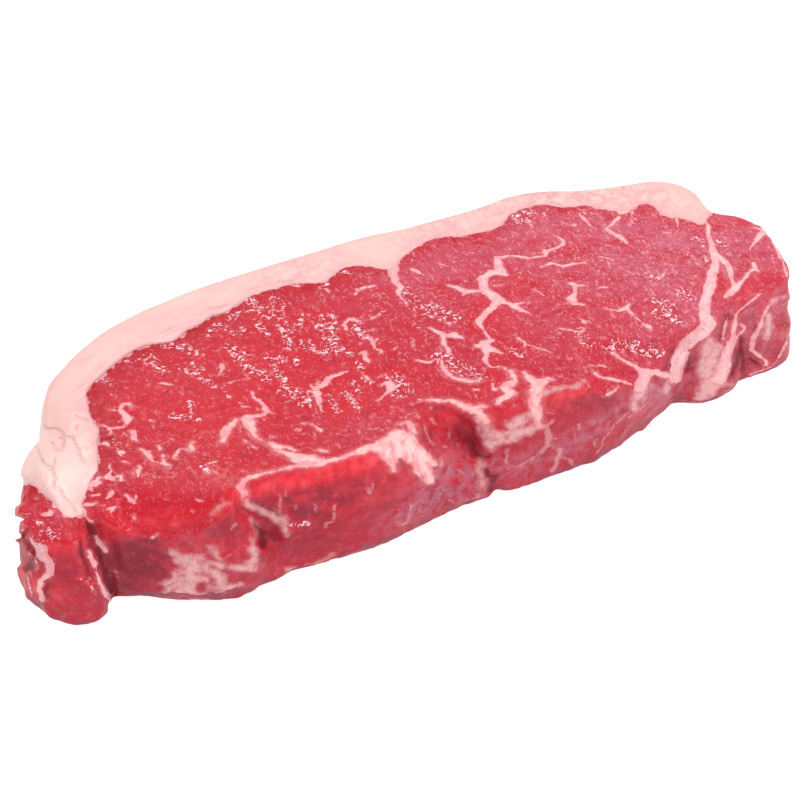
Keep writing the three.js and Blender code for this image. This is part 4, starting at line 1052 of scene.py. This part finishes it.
# curls, flecks and blots of pale pink, partly fat and partly painted highlight on the wet fibre ends, sparser
# near the fat cap and where the meat is vivid
sparse = meat.times(meat.without(meat.times(near_fat, 0.8)), meat.plus(meat.times(rosy, 0.45), 0.55))
sparse = meat.times(sparse, meat.without(meat.times(vivid_and_lit, 0.6)))
curls = meat.ridge(meat.noise(1.5, 2, 0.55, stretch=1.7, turn=76, shift=0.8, twist=0.7), 0.040)
curl_places = meat.step(meat.noise(1.7, 2, 0.5, shift=0.15), 0.52, 0.60)
meat.paint(fleck_pink, curls, curl_places, sparse, 0.65)
flecks = meat.noise(0.85, 2, 0.6, stretch=2.6, turn=78)
meat.paint(fleck_pink, meat.step(flecks, 0.61, 0.67), sparse, 0.5)
blots = meat.noise(2.2, 3, 0.6, stretch=1.5, turn=65, shift=0.25)
meat.paint(fleck_pink, meat.step(blots, 0.62, 0.69), 0.38)

# the outside: darker, faintly streaked by fibres, with painted shade in its hollows and a painted bright rim
# of light, itself patched with painted highlights and shade
fibres = meat.noise(0.9, 3, 0.6, stretch=5, turn=50, where=drawn_place)
strands = meat.noise(2.4, 3, 0.6, stretch=4, turn=42, shift=0.4, where=drawn_place)
blotches = meat.noise(2.6, 3, 0.55, shift=0.85)
# painted shade: the outside turns dark purple under the shade marks
outside = meat.mix(painted_shade, outer_red, purple_red)
outside = meat.mix(meat.times(meat.step(blotches, 0.50, 0.70), 0.35), outside, blotch_red)
outside = meat.mix(meat.times(rosy, 0.5), outside, tail_pink)
outside = meat.mix(meat.times(meat.step(strands, 0.52, 0.38), 0.4), outside, purple_red)
outside = meat.mix(meat.times(meat.step(fibres, 0.52, 0.75), 0.14), outside, pale_red)
rim = meat.mix(meat.times(meat.step(blotches, 0.62, 0.34), 0.5), lit_rim_red, crimson)
rim_highlight_patches = meat.step(meat.noise(2.6, 3, 0.5, shift=0.45), 0.40, 0.74)
rim = meat.mix(meat.times(rim_highlight_patches, 0.5), rim, rim_highlight_pink)
outside = meat.mix(meat.times(vivid_and_lit, 0.95), outside, rim)
sinews = meat.ridge(meat.noise(2.2, 2, 0.55, stretch=7, turn=38, shift=0.6, where=drawn_place), 0.04)
outside = meat.mix(meat.times(sinews, rosy, meat.without(back), 0.5), outside, smear_fat)
meat.color = meat.mix(cut, outside, meat.color)

# silverskin and smears of fat on the outside
skin_strands = meat.noise(2.2, 3, 0.55, stretch=4, turn=56, where=drawn_place)
meat.paint(silver_skin, silver, meat.step(skin_strands, 0.30, 0.66), 0.6)
membrane = meat.ridge(meat.noise(3.4, 1, 0.5, stretch=5, turn=36, shift=0.2, where=drawn_place), 0.05)
meat.paint(smear_fat, membrane, outer, silver, meat.step(strands, 0.45, 0.6), 0.25)
ragged = meat.sway(meat.noise(2.8, 3, 0.6, shift=0.5), 4.0)
smear = meat.step(meat.plus(soft_fat, ragged), 1.3, -1.2)
smear_color = meat.mix(meat.step(blotches, 0.28, 0.54), smear_pink, smear_fat)
smear_color = meat.mix(meat.times(rosy, 0.55), smear_color, smear_rose)
meat.paint(smear_color, smear, 0.9)
blood_lines = meat.ridge(meat.noise(3.4, 2, 0.6, shift=0.65), 0.05)
meat.paint(outer_red, smear, blood_lines, 0.22)
streak_edge = meat.plus(streak, meat.sway(fine, 1.2))
meat.paint(smear_fat, meat.step(streak_edge, 0.40, -0.35), 0.45)

# painted glints on the open grain: curls of painted white highlight, with thin dark edges of painted shade
crumbs = meat.noise(1.1, 3, 0.6, shift=0.35, twist=1.0)
open_grain = meat.plus(glint, meat.math("SUBTRACT", meat.noise(2.2, 2, 0.5, shift=0.75), 0.5))
open_grain = meat.times(glint, meat.step(open_grain, 0.50, 0.88))
meat.paint(wet_red, open_grain, 0.25)
glint_shade_rim = meat.step(meat.math("ABSOLUTE", meat.math("SUBTRACT", crumbs, 0.495)), 0.045, 0.01)
meat.paint(deep_red, open_grain, glint_shade_rim, 0.7)
meat.paint(painted_glint_white, open_grain, meat.step(crumbs, 0.53, 0.595))

# painted shade in the folds, and veins with torn, feathery edges, creamy in the middle and grey where thick
torn = meat.sway(meat.noise(1.1, 3, 0.65, shift=0.9), meat.math("SUBTRACT", 1.4, meat.times(rosy, 0.9)))
vein_edge = meat.plus(marbling, torn)
meat.paint(purple_red, meat.step(fold, 1.8, -0.2), 0.35)
meat.paint(painted_fold_shade, meat.step(fold, 0.5, -0.4), 0.8)
halo = meat.mix(meat.step(patchy, 0.44, 0.54), crimson, pale_red)
meat.paint(halo, meat.step(vein_edge, 0.8, 0.0), 0.4)
vein_color = meat.mix(meat.step(patchy, 0.38, 0.6), vein_pink, vein_fat)
inner = meat.times(meat.step(marbling, -0.5, -1.2), meat.step(fine, 0.35, 0.60))
vein_color = meat.mix(meat.times(inner, 0.8), vein_color, vein_cream)
greyed = meat.times(meat.step(marbling, -0.5, -1.3), meat.step(strands, 0.54, 0.40))
vein_color = meat.mix(meat.times(greyed, meat.plus(meat.times(rosy, 0.35), 0.4)), vein_color, vein_grey)
vein_color = meat.mix(meat.times(meat.without(rosy), 0.3), vein_color, vein_pink)
meat.paint(vein_color, meat.step(vein_edge, 0.10, -0.25))

# the broad seams of fat at the rim, and tongues of fat that reach in from the fat cap
rim_edge = meat.plus(rim_seam, meat.sway(meat.noise(1.7, 3, 0.6, shift=0.95), 2.4))
rim_color = meat.mix(meat.step(blotches, 0.40, 0.62), seam_pink, seam_cream)
creamy = meat.times(meat.step(rim_seam, -0.4, -1.6), meat.step(patchy, 0.38, 0.52))
rim_color = meat.mix(meat.times(creamy, 0.75), rim_color, vein_cream)
meat.paint(pale_red, meat.step(rim_edge, 1.8, 0.0), 0.3)
meat.paint(rim_color, meat.step(rim_edge, 0.45, -0.45))
fat_tongues = meat.plus(beside, meat.sway(meat.noise(2.4, 2, 0.5, shift=0.15), 3.0))
meat.paint(vein_color, meat.step(fat_tongues, 0.35, -0.10))

# painted contact shadow: a dark line along the foot
meat.paint(foot_shade, foot, 0.75)

# wet grain
grainy = meat.noise(0.75, 3, 0.65, shift=0.4)
wet = meat.noise(2.4, 2, 0.5, shift=0.6)
height = meat.bump(grainy, 0.18, meat.plus(meat.times(glint, 0.4), 0.28))
height = meat.bump(crumbs, 0.08, glint, height)
height = meat.bump(fibres, 0.22, outer, height)
height = meat.bump(wet, 0.14, 0.5, height)
meat.finish(lean, height, meat.plus(meat.times(patchy, 0.25), 0.32), {
    "Subsurface Weight": 0.18,
    "Subsurface Scale": 1.0 * MM,
    "Subsurface Radius": (1.0, 0.25, 0.18),
    "Specular IOR Level": 0.11,
    "Coat Weight": 0.10,
    "Coat Roughness": 0.06,
    "Coat IOR": 1.36,
})
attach(lean, "root")
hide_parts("lean")

# ---- Fat cap -------------------------------------------------------------------------------
# Hard white back fat with a pink blush near the lean, trimmed smooth on top, in soft lobes at
# the left end, with a thin dried skin on the outside.

cream = (0.88, 0.54, 0.49)
pink_fat = (0.87, 0.47, 0.465)
blush = (0.79, 0.35, 0.38)
tan = (0.58, 0.22, 0.13)
grey_pink = (0.60, 0.28, 0.32)
pale_cream = (0.93, 0.66, 0.60)
rose_blotch = (0.74, 0.28, 0.32)
seam_red = (0.78, 0.24, 0.28)

suet = Finish("hard_back_fat")
beside, crease, back, blushing = map(suet.value, ("beside", "crease", "back", "blush"))
clouds = suet.noise(11, 3, 0.55)
soft = suet.noise(3, 3, 0.6, stretch=3, turn=12)
suet.color = suet.mix(suet.step(clouds, 0.35, 0.7), cream, pink_fat)
# painted light: the left end of the fat, which the light reaches less, is painted paler
along = suet.add("ShaderNodeSeparateXYZ")
suet.put(along.inputs[0], suet.place)
suet.paint(pale_cream, suet.step(along.outputs["X"], -80 * MM, -100 * MM), 0.6)
suet.paint(blush, suet.ridge(suet.noise(7, 3, 0.6, shift=0.3), 0.03), blushing, 0.45)
threads = suet.noise(1.3, 3, 0.6, stretch=4, turn=80, shift=0.6, twist=0.4)
suet.paint(grey_pink, suet.step(threads, 0.50, 0.66), blushing, 0.6)
near_lean = suet.step(suet.plus(beside, suet.times(soft, 2.0)), -3.5, 1.0)
suet.paint(blush, near_lean, 0.4)
layers = suet.noise(1.0, 3, 0.6, stretch=9, turn=14, shift=0.5)
suet.paint(grey_pink, suet.step(beside, -7.0, -1.0), suet.step(layers, 0.55, 0.70), 0.5)
seam = suet.plus(beside, suet.sway(soft, 1.5))
suet.paint(seam_red, suet.step(seam, -0.9, 0.1), 0.5)
suet.paint(blush, blushing, suet.step(soft, 0.3, 0.7), 0.5)
suet.paint(blush, suet.step(soft, 0.55, 0.8), 0.3)
mottle = suet.noise(2.8, 3, 0.6, shift=0.8, twist=0.8)
suet.paint(rose_blotch, suet.step(mottle, 0.50, 0.62), blushing, 0.55)
suet.paint(pale_cream, suet.step(mottle, 0.46, 0.38), blushing, 0.6)
# the creases and slits are painted darker tan, with a pink blush beside them
crease_line = suet.plus(crease, suet.sway(suet.noise(1.2, 3, 0.6), 0.5))
suet.paint(blush, suet.step(crease_line, 0.40, 0.0), 0.25)
suet.paint(tan, suet.step(crease_line, 0.05, -0.3), 0.5)
suet.paint(blush, back, suet.step(clouds, 0.45, 0.7), 0.5)
height = suet.bump(suet.noise(1.1, 3, 0.6), 0.10, 0.6)
height = suet.bump(suet.step(crease_line, -0.1, 0.3), 0.17, 1.0, height)
height = suet.bump(suet.noise(4, 2, 0.5, shift=0.4), 0.2, 0.5, height)
suet.finish(fat, height, suet.plus(suet.times(soft, 0.2), 0.40), {
    "Subsurface Weight": 0.25,
    "Subsurface Scale": 1.2 * MM,
    "Subsurface Radius": (1.0, 0.5, 0.4),
    "Coat Weight": 0.15,
    "Coat Roughness": 0.2,
})
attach(fat, "root")
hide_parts("fat_cap")
